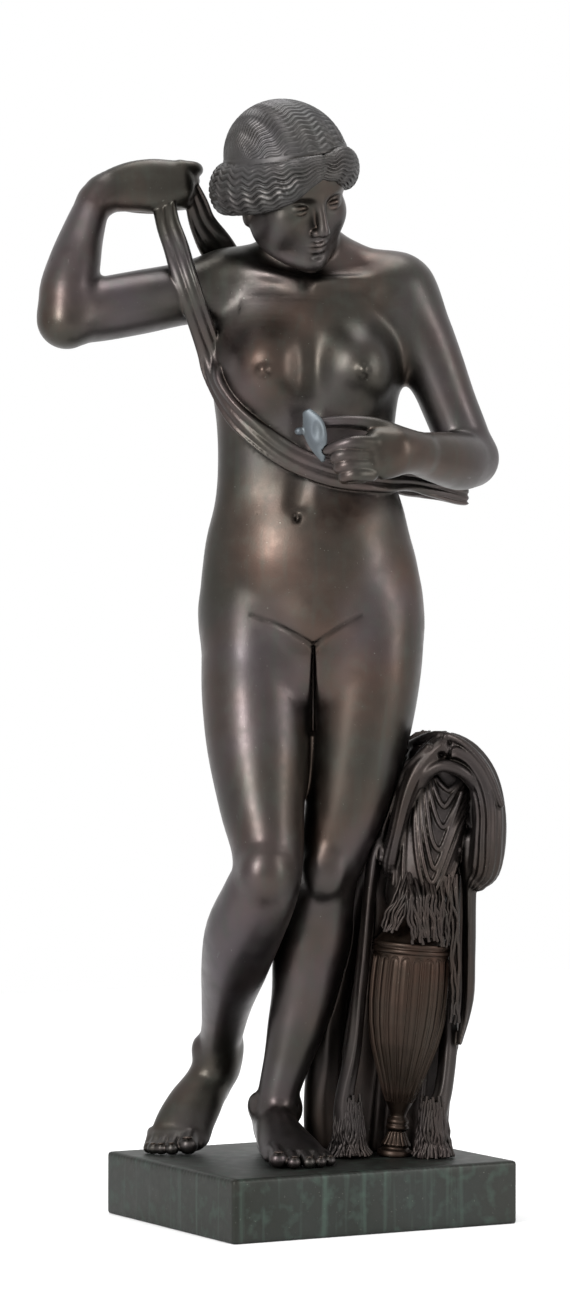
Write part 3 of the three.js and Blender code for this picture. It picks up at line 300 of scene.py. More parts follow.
def skin(clay, low, high, cell):
    """The clay's surface as points and four-sided faces, from cells near it."""
    low = np.array(low, float)
    span = BLOCK * cell
    shape = np.ceil((np.array(high) - low) / (2 * span)).astype(int)
    blocks = np.stack(np.meshgrid(*(np.arange(n) for n in shape), indexing="ij"), -1).reshape(-1, 3) * 2
    middle = np.full((1, 3), span)
    # Blocks in eights near the surface, then single ones, then those that the surface may cross
    values = clay.on_blocks(low + blocks * span, middle, 2 * span, 3 * span)[:, 0]
    blocks = blocks[np.abs(values) < 2 * (HALF_DIAGONAL * span + FIELD_SLACK)]
    blocks = (blocks[:, None] + lattice(2)).reshape(-1, 3)
    values = clay.on_blocks(low + blocks * span, middle / 2, span, 2 * span)[:, 0]
    blocks = blocks[np.abs(values) < HALF_DIAGONAL * span + FIELD_SLACK]
    values = clay.on_blocks(low + blocks * span, lattice(3) * span / 2, span, span)
    blocks = blocks[(values.min(axis=1) < cell * 2) & (values.max(axis=1) > -cell * 2)]
    values = clay.on_blocks(low + blocks * span, lattice(BLOCK + 1) * cell, span, 3 * cell)
    values = values.reshape(-1, BLOCK + 1, BLOCK + 1, BLOCK + 1)

    wide = (shape * 2 + 2) * BLOCK

    def key(cells):
        return (cells[..., 0].astype(np.int64) * wide[1] + cells[..., 1]) * wide[2] + cells[..., 2]

    # A point in each cell that the surface crosses, in the middle of where it crosses the cell's edges
    n = BLOCK
    inside = values < 0
    count = sum(inside[:, i:i + n, j:j + n, k:k + n].astype(np.int8) for i, j, k in lattice(2))
    b, i, j, k = np.nonzero((count > 0) & (count < 8))
    corner = {tuple(c): values[b, i + c[0], j + c[1], k + c[2]] for c in lattice(2)}
    total = np.zeros((len(b), 3))
    crossings = np.zeros(len(b))
    for start in corner:
        for axis in range(3):
            if start[axis]:
                continue
            end = tuple(v + (a == axis) for a, v in enumerate(start))
            from_value, to_value = corner[start], corner[end]
            change = (from_value < 0) != (to_value < 0)
            share = np.where(change, from_value / np.where(change, from_value - to_value, 1), 0)
            place = np.tile(np.array(start, float), (len(b), 1))
            place[:, axis] += share
            total += place * change[:, None]
            crossings += change
    cells = blocks[b] * n + np.column_stack([i, j, k])
    points = low + (cells + total / crossings[:, None]) * cell
    keys = key(cells)
    order = np.argsort(keys)
    keys, points = keys[order], points[order]

    # A face round each of the lattice's edges that the surface crosses
    faces = []
    base = inside[:, :n, :n, :n]
    for axis, (next_in, next_out) in enumerate(((1, 2), (2, 0), (0, 1))):
        shift = [slice(0, n)] * 3
        shift[axis] = slice(1, n + 1)
        other = inside[(slice(None), *shift)]
        b, *place = np.nonzero(base != other)
        cells = blocks[b] * n + np.column_stack(place)
        ring = []
        for back_in, back_out in ((1, 1), (0, 1), (0, 0), (1, 0)):
            moved = cells.copy()
            moved[:, next_in] -= back_in
            moved[:, next_out] -= back_out
            ring.append(key(moved))
        ring = np.stack(ring, axis=1)
        away = base[(b, *place)]
        ring = np.where(away[:, None], ring, ring[:, ::-1])
        spot = np.minimum(np.searchsorted(keys, ring), len(keys) - 1)
        faces.append(spot[(keys[spot] == ring).all(axis=1)])
    return points, np.concatenate(faces)


def to_plinth(points):
    """From the modelling frame, in millimetres, to the part's frame, in metres."""
    moved = points @ turn(0, 0, FACING).T
    moved[:, 2] += PLINTH_HEIGHT
    return moved / 1000


def mesh_object(name, points, faces):
    """An object with a mesh of faces that all have as many corners."""
    mesh = bpy.data.meshes.new(name)
    mesh.vertices.add(len(points))
    mesh.vertices.foreach_set("co", points.astype(np.float32).ravel())
    mesh.loops.add(faces.size)
    mesh.loops.foreach_set("vertex_index", faces.astype(np.int32).ravel())
    mesh.polygons.add(len(faces))
    width = faces.shape[1]
    mesh.polygons.foreach_set("loop_start", np.arange(0, faces.size, width, dtype=np.int32))
    mesh.update(calc_edges=True)
    mesh.validate()
    made = bpy.data.objects.new(name, mesh)
    bpy.context.scene.collection.objects.link(made)
    return made


def bake(thing):
    """Applies an object's modifiers, so that it holds a plain mesh."""
    graph = bpy.context.evaluated_depsgraph_get()
    plain = bpy.data.meshes.new_from_object(thing.evaluated_get(graph))
    thing.modifiers.clear()
    thing.data = plain
    plain.polygons.foreach_set("use_smooth", np.ones(len(plain.polygons), bool))
    return thing


def cast(name, clay, low, high, cell, triangles, reach=5.0):
    """Skins the clay and thins the skin where it is smooth. reach is how deep its hollows are felt."""
    points, faces = skin(clay, low, high, cell)
    made = mesh_object(name, points, faces)
    if len(faces) * 2 > triangles:
        thin = made.modifiers.new("thin", "DECIMATE")
        thin.ratio = triangles / (len(faces) * 2)
    bake(made)
    mesh = made.data
    count = len(mesh.vertices)
    places = np.empty(count * 3, np.float32)
    normals = np.empty(count * 3, np.float32)
    mesh.vertices.foreach_get("co", places)
    mesh.vertex_normals.foreach_get("vector", normals)
    places, normals = places.reshape(-1, 3).astype(float), normals.reshape(-1, 3)
    # How deep each place lies in the hollows or on the ridges: the hollows get a painted shade and the ridges
    # a paler rubbed wear
    painted_hollow_shade = 1 - clay.value(places + normals * reach, NEAR) / reach
    ridge = 1 + clay.value(places - normals * reach, NEAR) / reach
    for label, amount in (("painted_hollow_shade", painted_hollow_shade), ("ridge", ridge)):
        layer = mesh.attributes.new(label, "FLOAT", "POINT")
        layer.data.foreach_set("value", np.clip(amount, 0, 1).astype(np.float32))
    mesh.vertices.foreach_set("co", to_plinth(places).astype(np.float32).ravel())
    mesh.update()
    return made


# The figure
def creases(clay, view, places, blend):
    """A groove along points [x, z, radius] of the surface, seen from the front (-1) or the back (1)."""
    stations = [[x, clay.surface(x, z, view) + view * r * 0.35, z, r, r] for x, z, r in places]
    clay.cut(limb(stations), blend)


def drape(clay, stations, view, across_before):
    """Stations of a band, moved to lie on the body. Each gains the direction that its width runs in.

    across_before is the direction just before the first station, so that the band doesn't twist there.
    """
    seated = []
    for x, y, z, a, b in stations:
        skin_y = clay.surface(x, z, view)
        if skin_y is None or (skin_y - y) * view < 0:
            seated.append((np.array([x, y, z], float), (a, b), np.array([0.0, view, 0.0])))
            continue
        normal = clay.slope((x, skin_y, z))
        seated.append((np.array([x, skin_y, z]) + normal * b * 0.7, (a, b), normal))
    rows = []
    for i, (place, size, normal) in enumerate(seated):
        path = seated[min(i + 1, len(seated) - 1)][0] - seated[max(i - 1, 0)][0]
        across = np.cross(path, normal)
        across /= np.linalg.norm(across)
        if across @ across_before < 0:
            across = -across
        across_before = across
        rows.append([*place, *size, *across])
    return rows


def model_torso(clay):
    clay.add(limb([
        [1, 8, 752, 150, 84],
        [1, 8, 790, 164, 92],
        [1, 5, 830, 167, 92],
        [-1, 2, 872, 163, 88],
        [-3, -3, 912, 156, 84],
        [-4, -6, 956, 146, 80],
        [-6, -6, 1000, 135, 76],
        [-7, -4, 1045, 131.5, 78],
        [-7, 0, 1092, 133, 85],
        [-7, 4, 1134, 138, 92],
        [-7, 6, 1180, 144, 96],
        [-7, 8, 1224, 146, 94],
        [-6, 12, 1266, 138, 84],
        [-5, 16, 1300, 112, 68],
        [-6, 18, 1328, 78, 54],
    ], square=2.25))
    # Shoulders and the muscle that slopes from the neck
    clay.add(limb([[-112, 18, 1312, 42, 50], [-60, 22, 1330, 40, 46], [-6, 24, 1338, 44, 46],
                   [60, 24, 1330, 40, 48], [118, 18, 1303, 48, 50]], side=Z), 34)
    clay.add(limb([[-8, 32, 1328, 62, 50], [-11, 16, 1362, 52, 48], [-18, -8, 1396, 50, 50],
                   [-26, -36, 1430, 48, 52]]), 28)
    # Collar bones
    clay.add(limb([[-18, -54, 1306, 6, 6], [-60, -50, 1318, 7, 7], [-104, -26, 1328, 8, 8]]), 24)
    clay.add(limb([[8, -54, 1304, 6, 6], [54, -52, 1308, 7, 7], [104, -30, 1306, 8, 8]]), 24)
    clay.cut(ellipsoid([-5, -72, 1314], [9, 12, 12]), 14)
    # Breasts
    clay.add(ellipsoid([-62, -70, 1176], [50, 48, 54], [10, 0, 8]), 40)
    clay.add(ellipsoid([68, -68, 1176], [50, 48, 54], [10, 0, -8]), 40)
    clay.add(ellipsoid([-70, -117, 1173], [6, 7, 6]), 12)
    clay.add(ellipsoid([78, -114, 1174], [6, 7, 6]), 12)
    clay.cut(limb([[-3, -129, 1236, 8, 14], [-3, -128, 1180, 8, 17], [-4, -120, 1124, 8, 12]]), 36)
    # Belly, its midline and the navel
    clay.add(ellipsoid([0, -48, 890], [92, 52, 78]), 60)
    clay.cut(limb([[-6, -99, 1110, 5, 8], [-12, -95, 1040, 5, 8], [-19, -99, 980, 4, 6]]), 26)
    clay.cut(ellipsoid([-20, -97, 956], [3.5, 7, 5.5]), 7)
    clay.add(ellipsoid([6, -62, 800], [46, 34, 40]), 40)
    # Back: spine furrow, shoulder blades and buttocks
    clay.cut(limb([[-6, 112, 1290, 8, 14], [-7, 112, 1180, 9, 16], [-6, 96, 1040, 9, 16],
                   [-3, 98, 940, 9, 14], [2, 112, 900, 6, 10]]), 30)
    clay.add(ellipsoid([-82, 68, 1230], [46, 30, 66], [0, 10, 0]), 34)
    clay.add(ellipsoid([72, 70, 1216], [46, 30, 66], [0, -8, 0]), 34)
    clay.add(ellipsoid([-74, 60, 800], [76, 66, 78]), 44)
    clay.add(ellipsoid([80, 62, 818], [76, 64, 78]), 44)
    clay.cut(limb([[2, 138, 872, 4, 20], [3, 146, 800, 4, 32], [3, 130, 735, 5, 26]]), 16)


def model_legs(clay):
    # Bent leg, heel raised
    clay.add(limb([
        [-87, 8, 812, 74, 88],
        [-84, 0, 750, 79, 88],
        [-83, -10, 690, 79.5, 82],
        [-78, -32, 612, 76, 74],
        [-72, -62, 530, 64, 66],
        [-64, -88, 468, 54, 60],
        [-65, -102, 428, 52, 56],
        [-77, -88, 392, 55, 56],
        [-100, -46, 338, 57, 58],
        [-114, 2, 284, 50, 53],
        [-125, 52, 232, 39.5, 43],
        [-132, 92, 188, 33, 38],
        [-138, 124, 150, 31, 40],
        [-136, 146, 122, 28, 38],
    ]), 18)
    clay.add(ellipsoid([-70, -146, 432], [27, 20, 30]), 26)
    # Standing leg
    clay.add(limb([
        [82, 8, 830, 76, 86],
        [86, 6, 774, 83, 88],
        [82, 2, 700, 80, 84],
        [70, -2, 612, 73, 77],
        [54, -6, 530, 62, 69],
        [32, -6, 462, 55, 60],
        [20, -4, 424, 52, 56],
        [14, 6, 384, 52, 54],
        [6, 20, 330, 57, 60],
        [-2, 26, 288, 54, 57],
        [-11, 24, 234, 48, 49],
        [-22, 20, 189, 43, 42],
        [-34, 18, 144, 36, 38],
        [-46, 18, 100, 31.5, 37],
        [-52, 22, 64, 32, 38],
    ]), 18)
    clay.add(ellipsoid([20, -54, 428], [26, 16, 30]), 24)
    # Groin lines, and the wedge between the thighs
    creases(clay, -1, [[-88, 812, 1.0], [-50, 797, 1.8], [-18, 780, 2.6], [4, 766, 3.2]], 5)
    creases(clay, -1, [[76, 812, 1.0], [44, 795, 1.8], [20, 778, 2.6], [4, 766, 3.2]], 5)
    clay.cut(limb([
        [4, -82, 766, 1.5, 6],
        [4, -80, 750, 2.5, 16],
        [4, -78, 732, 3.5, 28],
        [4, -76, 705, 5, 44],
        [4, -76, 675, 7, 54],
        [4, -76, 640, 8, 58],
    ]), 4)


def model_toes(clay, toes):
    """Each toe runs from its root (x, y, z) to its tip (x, y), with its radius last."""
    for x0, y0, z0, x1, y1, r in toes:
        middle = ((x0 + x1) / 2, (y0 + y1) / 2)
        clay.add(limb([[x0, y0, z0, r, r], [*middle, (z0 + r) / 2 + 2, r * 0.85, r * 0.88],
                       [x1, y1, r - 1, r, r * 0.9]]), 4)
        # The nail, a shallow plate on top of the tip
        ahead = np.array([x1 - x0, y1 - y0, 0.0])
        ahead /= np.linalg.norm(ahead)
        nail = np.array([x1, y1, r - 1 + r * 0.86]) + ahead * r * 0.35
        clay.add(ellipsoid(nail, [r * 0.55, r * 0.6, r * 0.14]), 0.6)


def model_feet(clay):
    # Standing foot
    clay.add(limb([
        [-58, 52, 30, 26, 29],
        [-55, 22, 38, 30, 36],
        [-50, -22, 40, 33, 33],
        [-40, -68, 30, 41, 27],
        [-28, -108, 19, 47, 19],
        [-24, -128, 14, 46, 14],
    ]), 20)
    clay.add(ellipsoid([-84, 22, 74], [10, 15, 16]), 14)
    clay.add(ellipsoid([-22, 30, 68], [10, 15, 16]), 14)
    model_toes(clay, [
        (-55, -118, 19, -48, -158, 14),
        (-32, -124, 15.5, -25, -164, 10.5),
        (-13, -120, 15, -3, -158, 10),
        (4, -112, 14.5, 14, -148, 9.5),
        (18, -98, 14, 28, -130, 9),
    ])
    # Bent foot, standing on its ball
    clay.add(limb([
        [-138, 130, 140, 32, 38],
        [-156, 116, 98, 35, 33],
        [-173, 92, 72, 41, 28],
        [-188, 68, 46, 44, 24],
        [-196, 48, 26, 45, 20],
        [-201, 34, 18, 43, 15],
    ]), 20)
    clay.add(limb([[-142, 160, 128, 27, 27], [-146, 172, 106, 28, 26], [-154, 140, 80, 26, 24]]), 18)
    clay.add(ellipsoid([-170, 118, 150], [9, 13, 15]), 14)
    clay.add(ellipsoid([-116, 122, 156], [9, 13, 15]), 14)
    model_toes(clay, [
        (-178, 48, 24, -184, 12, 15),
        (-201, 44, 24, -208, 8, 10.5),
        (-217, 46, 24, -224, 14, 10),
        (-230, 50, 25, -236, 20, 9.5),
        (-238, 62, 28, -243, 32, 9),
    ])


def model_raised_arm(clay):
    clay.add(limb([
        [-40, 26, 1272, 40, 48],
        [-78, 22, 1288, 50, 60],
        [-124, 14, 1306, 52, 56],
        [-188, -12, 1293, 46.5, 50],
        [-255, -42, 1278, 47.5, 49],
        [-310, -66, 1266, 47, 46],
        [-348, -86, 1256, 43, 44],
        [-362, -92, 1250, 41, 42],
    ], side=Z), 34)
    clay.add(limb([
        [-360, -94, 1248, 41, 40],
        [-359, -84, 1290, 43, 44],
        [-350, -64, 1336, 38.5, 41],
        [-340, -40, 1378, 32, 35],
        [-328, -18, 1416, 27, 29],
        [-314, -6, 1440, 25, 28],
    ]), 12)
    # Its hand, closed on the sash
    clay.add(limb([[-322, -8, 1432, 24, 26], [-298, -4, 1446, 32, 24], [-264, 0, 1454, 38, 23],
                   [-228, 4, 1456, 40, 22], [-194, 8, 1462, 32, 20]], side=Z), 14)
    for i, z in enumerate((1483, 1466, 1449, 1434)):
        clay.add(limb([
            [-194 - i * 5, 6, z, 11, 11],
            [-175 - i * 5, 16, z - 1, 11, 11],
            [-173 - i * 5, 36, z - 2, 10, 10],
            [-192 - i * 5, 48, z - 3, 9.5, 9.5],
            [-218 - i * 4, 46, z - 4, 9, 9],
        ], side=Z), 5)
    clay.add(limb([[-294, 14, 1436, 15, 15], [-262, 34, 1430, 13, 13], [-228, 36, 1427, 11, 11],
                   [-202, 30, 1430, 9.5, 9.5]], side=Z), 8)


def model_lowered_arm(clay):
    clay.add(ellipsoid([124, 17, 1291], [58, 56, 55]), 34)
    clay.add(limb([
        [134, 16, 1290, 50, 52],
        [160, 14, 1248, 48, 50],
        [184, 14, 1192, 45, 47],
        [206, 12, 1134, 42, 45],
        [225, 8, 1086, 41, 43],
        [238, 4, 1050, 41, 42],
    ]), 34)
    clay.add(limb([
        [240, 2, 1045, 41, 41],
        [222, -42, 1041, 41, 43],
        [194, -92, 1044, 37, 39],
        [164, -140, 1048, 31, 33],
        [138, -180, 1053, 26, 28],
        [126, -196, 1054, 25, 28],
    ]), 12)


def model_lowered_hand(clay):
    clay.add(limb([[158, -160, 1050, 25, 23], [138, -184, 1049, 29, 23], [116, -200, 1047, 35, 22],
                   [98, -208, 1046, 37, 20], [88, -210, 1044, 33, 17]], side=Z), 14)
    # Thumb above, first finger below it, and the others curled under the palm
    clay.add(limb([[152, -170, 1066, 10, 10], [130, -184, 1075, 12, 12], [108, -191, 1084, 12.5, 12.5],
                   [84, -196, 1091, 11, 11], [50, -198, 1094, 9.5, 9.5], [16, -199, 1093, 8, 8]], side=Z), 11)
    clay.add(limb([[90, -218, 1062, 12, 12], [62, -231, 1063, 10, 10], [40, -226, 1058, 9.2, 9.2],
                   [22, -212, 1052, 8, 8]], side=Z), 5)
    for z, left in ((1042, 28), (1027, 33), (1013, 41)):
        clay.add(limb([
            [86, -216, z + 4, 11, 11],
            [left + 24, -230, z + 3, 10, 10],
            [left + 9, -225, z, 9.2, 9.2],
            [left + 10, -209, z - 2, 8.6, 8.6],
            [left + 34, -200, z, 8.6, 8.6],
        ], side=Z), 2.5)


# The head has its own frame: origin between the ears, face towards -Y
HEAD_TURN = turn(25, -12, 30)
HEAD_PLACE = (-32, -62, 1450)


def model_head(clay):
    def add(form, blend):
        clay.add(placed(form, HEAD_TURN, HEAD_PLACE), blend)

    def cut(form, blend):
        clay.cut(placed(form, HEAD_TURN, HEAD_PLACE), blend)

    add(ellipsoid([0, 6, 28], [73, 92, 80]), 10)
    add(ellipsoid([0, -30, -26], [56, 52, 66]), 20)
    # Jaw, cheeks and the round of the mouth
    for s in (-1, 1):
        add(limb([[s * 54, 6, -34, 14, 18], [s * 51, -20, -62, 14, 16], [s * 36, -48, -82, 14, 14],
                  [s * 16, -66, -91, 14, 14], [0, -71, -92, 14, 14]]), 18)
        add(ellipsoid([s * 36, -52, -26], [26, 26, 25]), 24)
        add(ellipsoid([s * 40, -34, -48], [22, 30, 28]), 26)
    add(ellipsoid([0, -68, -60], [27, 18, 27]), 20)
    add(ellipsoid([0, -76, -91], [19, 14, 13]), 10)
    # Brow
    add(ellipsoid([0, -42, 36], [58, 46, 46]), 20)
    for s in (-1, 1):
        add(limb([[s * 48, -60, 12, 6, 6], [s * 30, -78, 18, 6, 6], [s * 9, -82, 12, 5, 5]]), 12)
    # Lowered eyes, with an upper and a lower lid
    for s in (-1, 1):
        cut(ellipsoid([s * 29, -92, 0], [17, 13, 11]), 12)
    for s in (-1, 1):
        add(ellipsoid([s * 30, -68, -3], [15, 15, 11]), 3)
        add(limb([[s * 15, -77, -5, 1.8, 2], [s * 23, -82, -1, 2.2, 2.6], [s * 32, -83, 0, 2.2, 2.6],
                  [s * 42, -76, -5, 1.8, 2]]), 2)
        add(limb([[s * 16, -77, -7, 1.5, 2], [s * 24, -81, -10, 1.6, 2], [s * 33, -81, -10, 1.6, 2],
                  [s * 41, -75, -7, 1.5, 2]]), 3)
    # Nose
    add(limb([[0, -82, 12, 6.5, 7], [0, -90, -10, 6.5, 8], [0, -98, -32, 8, 9]]), 9)
    add(ellipsoid([0, -99, -38], [9, 9, 7.5]), 6)
    for s in (-1, 1):
        add(ellipsoid([s * 9.5, -91, -41], [5.5, 8, 5.5]), 5)
        cut(ellipsoid([s * 5, -95, -46], [2.5, 4, 2.5]), 2)
    # Closed lips
    add(limb([[-21, -76, -64, 2.5, 3], [-9, -87, -60.5, 3.8, 4], [0, -88, -62, 3.6, 4],
              [9, -87, -60.5, 3.8, 4], [21, -76, -64, 2.5, 3]]), 3)
    add(limb([[-19, -76, -67, 2.5, 3], [-8, -86, -70.5, 4.4, 4.4], [8, -86, -70.5, 4.4, 4.4],
              [19, -76, -67, 2.5, 3]]), 3)
    cut(ellipsoid([0, -92, -80], [12, 6, 3.5]), 5)
    for s in (-1, 1):
        add(ellipsoid([s * 66, 6, -36], [7, 12, 20]), 4)


# Hair: locks this far apart, with waves this long that sway this far, between grooves this deep, and half
# the ribbon's width
LOCK = 8.4
WAVE = 27.0
SWAY = 2.7
GROOVE = 3.2
BAND_HALF = 8.5


def lock_relief(across, along, depth=GROOVE):
    """Rounded wavy locks between sharp grooves that deepen and fade. Both places are in millimetres."""
    wander = 5 * np.sin(along / 43 + across / 71) + 2 * np.sin(along / 17 + across / 29 + 1)
    place = (across + wander + SWAY * np.sin(along * 2 * np.pi / WAVE + across / 80)) / LOCK * np.pi
    groove = 0.4 * np.cos(place) ** 4 + 0.6 * np.cos(place) ** 2
    fade = 0.72 + 0.28 * np.sin(along / 37 + 2.1) * np.sin(across / 23 + along / 90)
    return -depth * groove * fade


def model_hair():
    """The hair as its own casting: a waved cap, a smooth ribbon, and a roll from the parting to the nape."""
    clay = Clay()
    cap = ellipsoid([0, 12, 38], [89, 104, 87])

    def waved(p):
        x, y, z = p[:, 0], p[:, 1] - 12, p[:, 2] - 20
        across = np.arctan2(z, -y) * 90
        sideways = np.clip(x / np.sqrt(x * x + y * y + z * z + 1e-6), -1, 1)
        along = np.arccos(sideways) * 90
        drawn_together = np.clip((np.sqrt(1 - sideways ** 2) - 0.35) / 0.35, 0, 1)
        # The ribbon lies in a plane that slopes down to the nape
        from_ribbon = np.abs(p[:, 2] + 0.396 * p[:, 1] - 45) / 1.075
        carved = np.clip((from_ribbon - BAND_HALF) / 2, 0, 1)
        behind_face = -(p[:, 1] * 0.62 + p[:, 2] * 0.78) + 12
        relief = lock_relief(across, along) * carved * drawn_together + 0.6 * (1 - carved)
        return np.maximum(cap.distance(p) - relief, behind_face)

    clay.add(placed(Form(cap.low - 6, cap.high + 6, waved), HEAD_TURN, HEAD_PLACE))

    # A roll of locks on each side, from the parting to the nape
    def strands(along, u, v):
        # The locks draw together at the roll's edges, and are shallower there
        return lock_relief(np.arctan2(v, u) * 30, along + 8, 4.0 * (1 - 0.6 * np.clip(np.abs(u), 0, 1) ** 3))

    for s, height, lift in ((-1, 1.0, 0), (1, 0.86, 5)):
        roll = limb([
            [s * 2, -88, 62, 21, 9],
            [s * 14, -88, 60, 23, 12],
            [s * 34, -82, 53 + lift, 28, 15],
            [s * 57, -66, 37 + lift, 34 * height, 18],
            [s * 77, -30, 20 + lift, 38 * height, 21],
            [s * 86, 12, 4 + lift, 39 * height, 23],
            [s * 77, 54, -12, 39 * height, 25],
            [s * 46, 88, -24, 38, 26],
            [0, 102, -30, 36, 26],
        ], side=Z, relief=strands)
        clay.add(placed(roll, HEAD_TURN, HEAD_PLACE), 1.5)
    # The parting, a thin groove between the two rolls
    parting = limb([[0, -104, 40, 1.6, 5], [0, -104, 62, 1.6, 5], [0, -96, 86, 1.2, 4]])
    clay.cut(placed(parting, HEAD_TURN, HEAD_PLACE), 1.5)
    return clay


def model_sash(clay):
    """From the raised hand over the chest and round the waist to the back, and up to the hand again."""
    w, t = SASH_HALF_WIDTH, SASH_HALF_THICKNESS

    def folds(along, u, v):
        hems = 1.5 * np.exp(-((np.abs(u) - 0.85) / 0.16) ** 2)
        groove = np.cos(u * 4.2 + 0.9 * np.sin(along / 80) + 0.4 * np.sin(along / 33)) ** 2
        return hems + 0.7 - 2.2 * groove ** 2

    front = drape(clay, [
        [-162, -44, 1240, w - 1, t],
        [-149, -30, 1200, w - 1, t + 1],
        [-136, -24, 1160, w, t + 2],
        [-110, -24, 1114, w, t + 2],
        [-72, -24, 1076, w, t + 2],
        [-28, -24, 1045, w, t + 2],
        [24, -24, 1024, w, t + 2],
        [70, -24, 1015, w, t + 2],
        [108, -24, 1012, w, t + 1],
    ], -1, np.array(FRONT_ACROSS))
    back = drape(clay, [
        [132, 20, 1014, w - 1, t + 1],
        [92, 20, 1046, w, t + 1],
        [40, 20, 1096, w, t + 2],
        [-14, 20, 1160, w, t + 2],
        [-58, 20, 1226, w, t + 2],
        [-92, 20, 1290, w, t + 2],
        [-122, 20, 1340, w + 5, t + 1],
    ], 1, np.array([0, 0.2, 1]))
    clay.add(limb([
        [-221, 4, 1436, w - 2, t, *FRONT_ACROSS],
        [-214, -18, 1398, w - 1, t, *FRONT_ACROSS],
        [-201, -46, 1360, w, t, *FRONT_ACROSS],
        [-189, -66, 1318, w, t, *FRONT_ACROSS],
        [-176, -66, 1280, w - 1, t, *FRONT_ACROSS],
        *front,
        [148, -14, 1011, w - 5, t + 1, 0, 0.1, 1],
        [190, 18, 1001, w - 6, t + 2, 0, 0, 1],
        [218, 36, 993, w - 6, t + 2, 0, 0, 1],
        [232, 51, 991, w - 6, t + 2, 0, 0, 1],
        [222, 66, 993, w - 6, t + 2, 0, 0, 1],
        [196, 71, 999, w - 6, t + 1, 0, 0, 1],
        [166, 70, 1006, w - 3, t, 0, 0.2, 1],
        *back,
        [-145, 46, 1374, w + 7, t, 0.9, 0.3, 0.3],
        [-162, 36, 1402, w + 1, t, 0.9, 0.3, 0.3],
        [-171, 26, 1430, w - 2, t, 0.9, 0.3, 0.3],
        [-180, 18, 1456, w - 7, t, 0.9, 0.3, 0.3],
    ], square=3, relief=folds), 3)


def model_lower_figure():
    """The part of the figure that the towel lies against."""
    clay = Clay()
    model_torso(clay)
    model_legs(clay)
    model_feet(clay)
    return clay


def model_figure():
    """The whole figure but for the hair."""
    clay = model_lower_figure()
    model_raised_arm(clay)
    model_sash(clay)
    model_lowered_arm(clay)
    model_lowered_hand(clay)
    model_head(clay)
    clay.cut(below(SEAT_GAP))
    return clay


# The urn and its towel
URN_TURN = turn(0, URN_LEAN, 0)
URN_PLACE = (127, 0, 0)
# The urn's outline as [radius, height], from the foot to the mouth
URN_FOOT = [[0.01, 0], [27, 0], [27.5, 4], [26, 9], [21, 11], [19.5, 14], [21, 16]]
URN_FLARE = [[20.5, 18], [18, 22], [14.5, 28], [12, 34], [11.5, 37]]
URN_NECK = [[15, 39], [17.5, 42], [17.5, 45], [15, 48], [16.5, 50], [16.5, 54], [14, 57], [11.5, 60]]
URN_BODY = [[13, 65], [19, 78], [27, 96], [41, 138], [51, 170], [57, 200], [60, 232], [60.3, 262],
            [59.2, 288], [57.5, 304]]
URN_SHOULDER = [[57.5, 306], [60.5, 307.5], [61, 310], [60.5, 312.5], [58, 314], [58, 316], [60, 317.5],
                [60.5, 320], [59.5, 322.5], [56, 324], [52, 328], [44, 336], [34, 348], [26, 364], [22, 390],
                [20, 430], [0.01, 430]]
# Where the flutes begin and end, the ribs between them, the lobes round the foot and the points in a ring
FLUTE_TOP = 302
FLUTE_FOOT = 76
RIB_WIDTH = 4.2
GADROONS = 14
URN_AROUND = 400


def ripple(*waves):
    """Relief of upright folds: each wave is (height, folds round the form, phase)."""
    def relief(along, u, v):
        angle = np.arctan2(v, u)
        return sum(height * np.cos(angle * folds + phase) for height, folds, phase in waves)
    return relief


def gathers(depth, folds, sway):
    """Relief of folds that run along a roll of cloth: round ridges and valleys that wander and fade."""
    def relief(along, u, v):
        angle = np.arctan2(v, u)
        wander = sway * (np.sin(along / 47 + angle) + 0.6 * np.sin(along / 23 + 1.3))
        fade = 0.7 + 0.3 * np.sin(along / 61 + angle * 2)
        return -depth * fade * np.abs(np.cos(angle * folds / 2 + wander)) ** 1.7
    return relief


def pleat(clay, places, radius, proud=0.55, blend=3.0):
    """A raised fold of cloth along points [x, z] of the surface, seen from the front."""
    stations = []
    for x, z in places:
        y = clay.surface(x, z, -1)
        if y is not None:
            stations.append([x, y - radius * proud, z, radius, radius * 1.3])
    clay.add(limb(stations), blend)


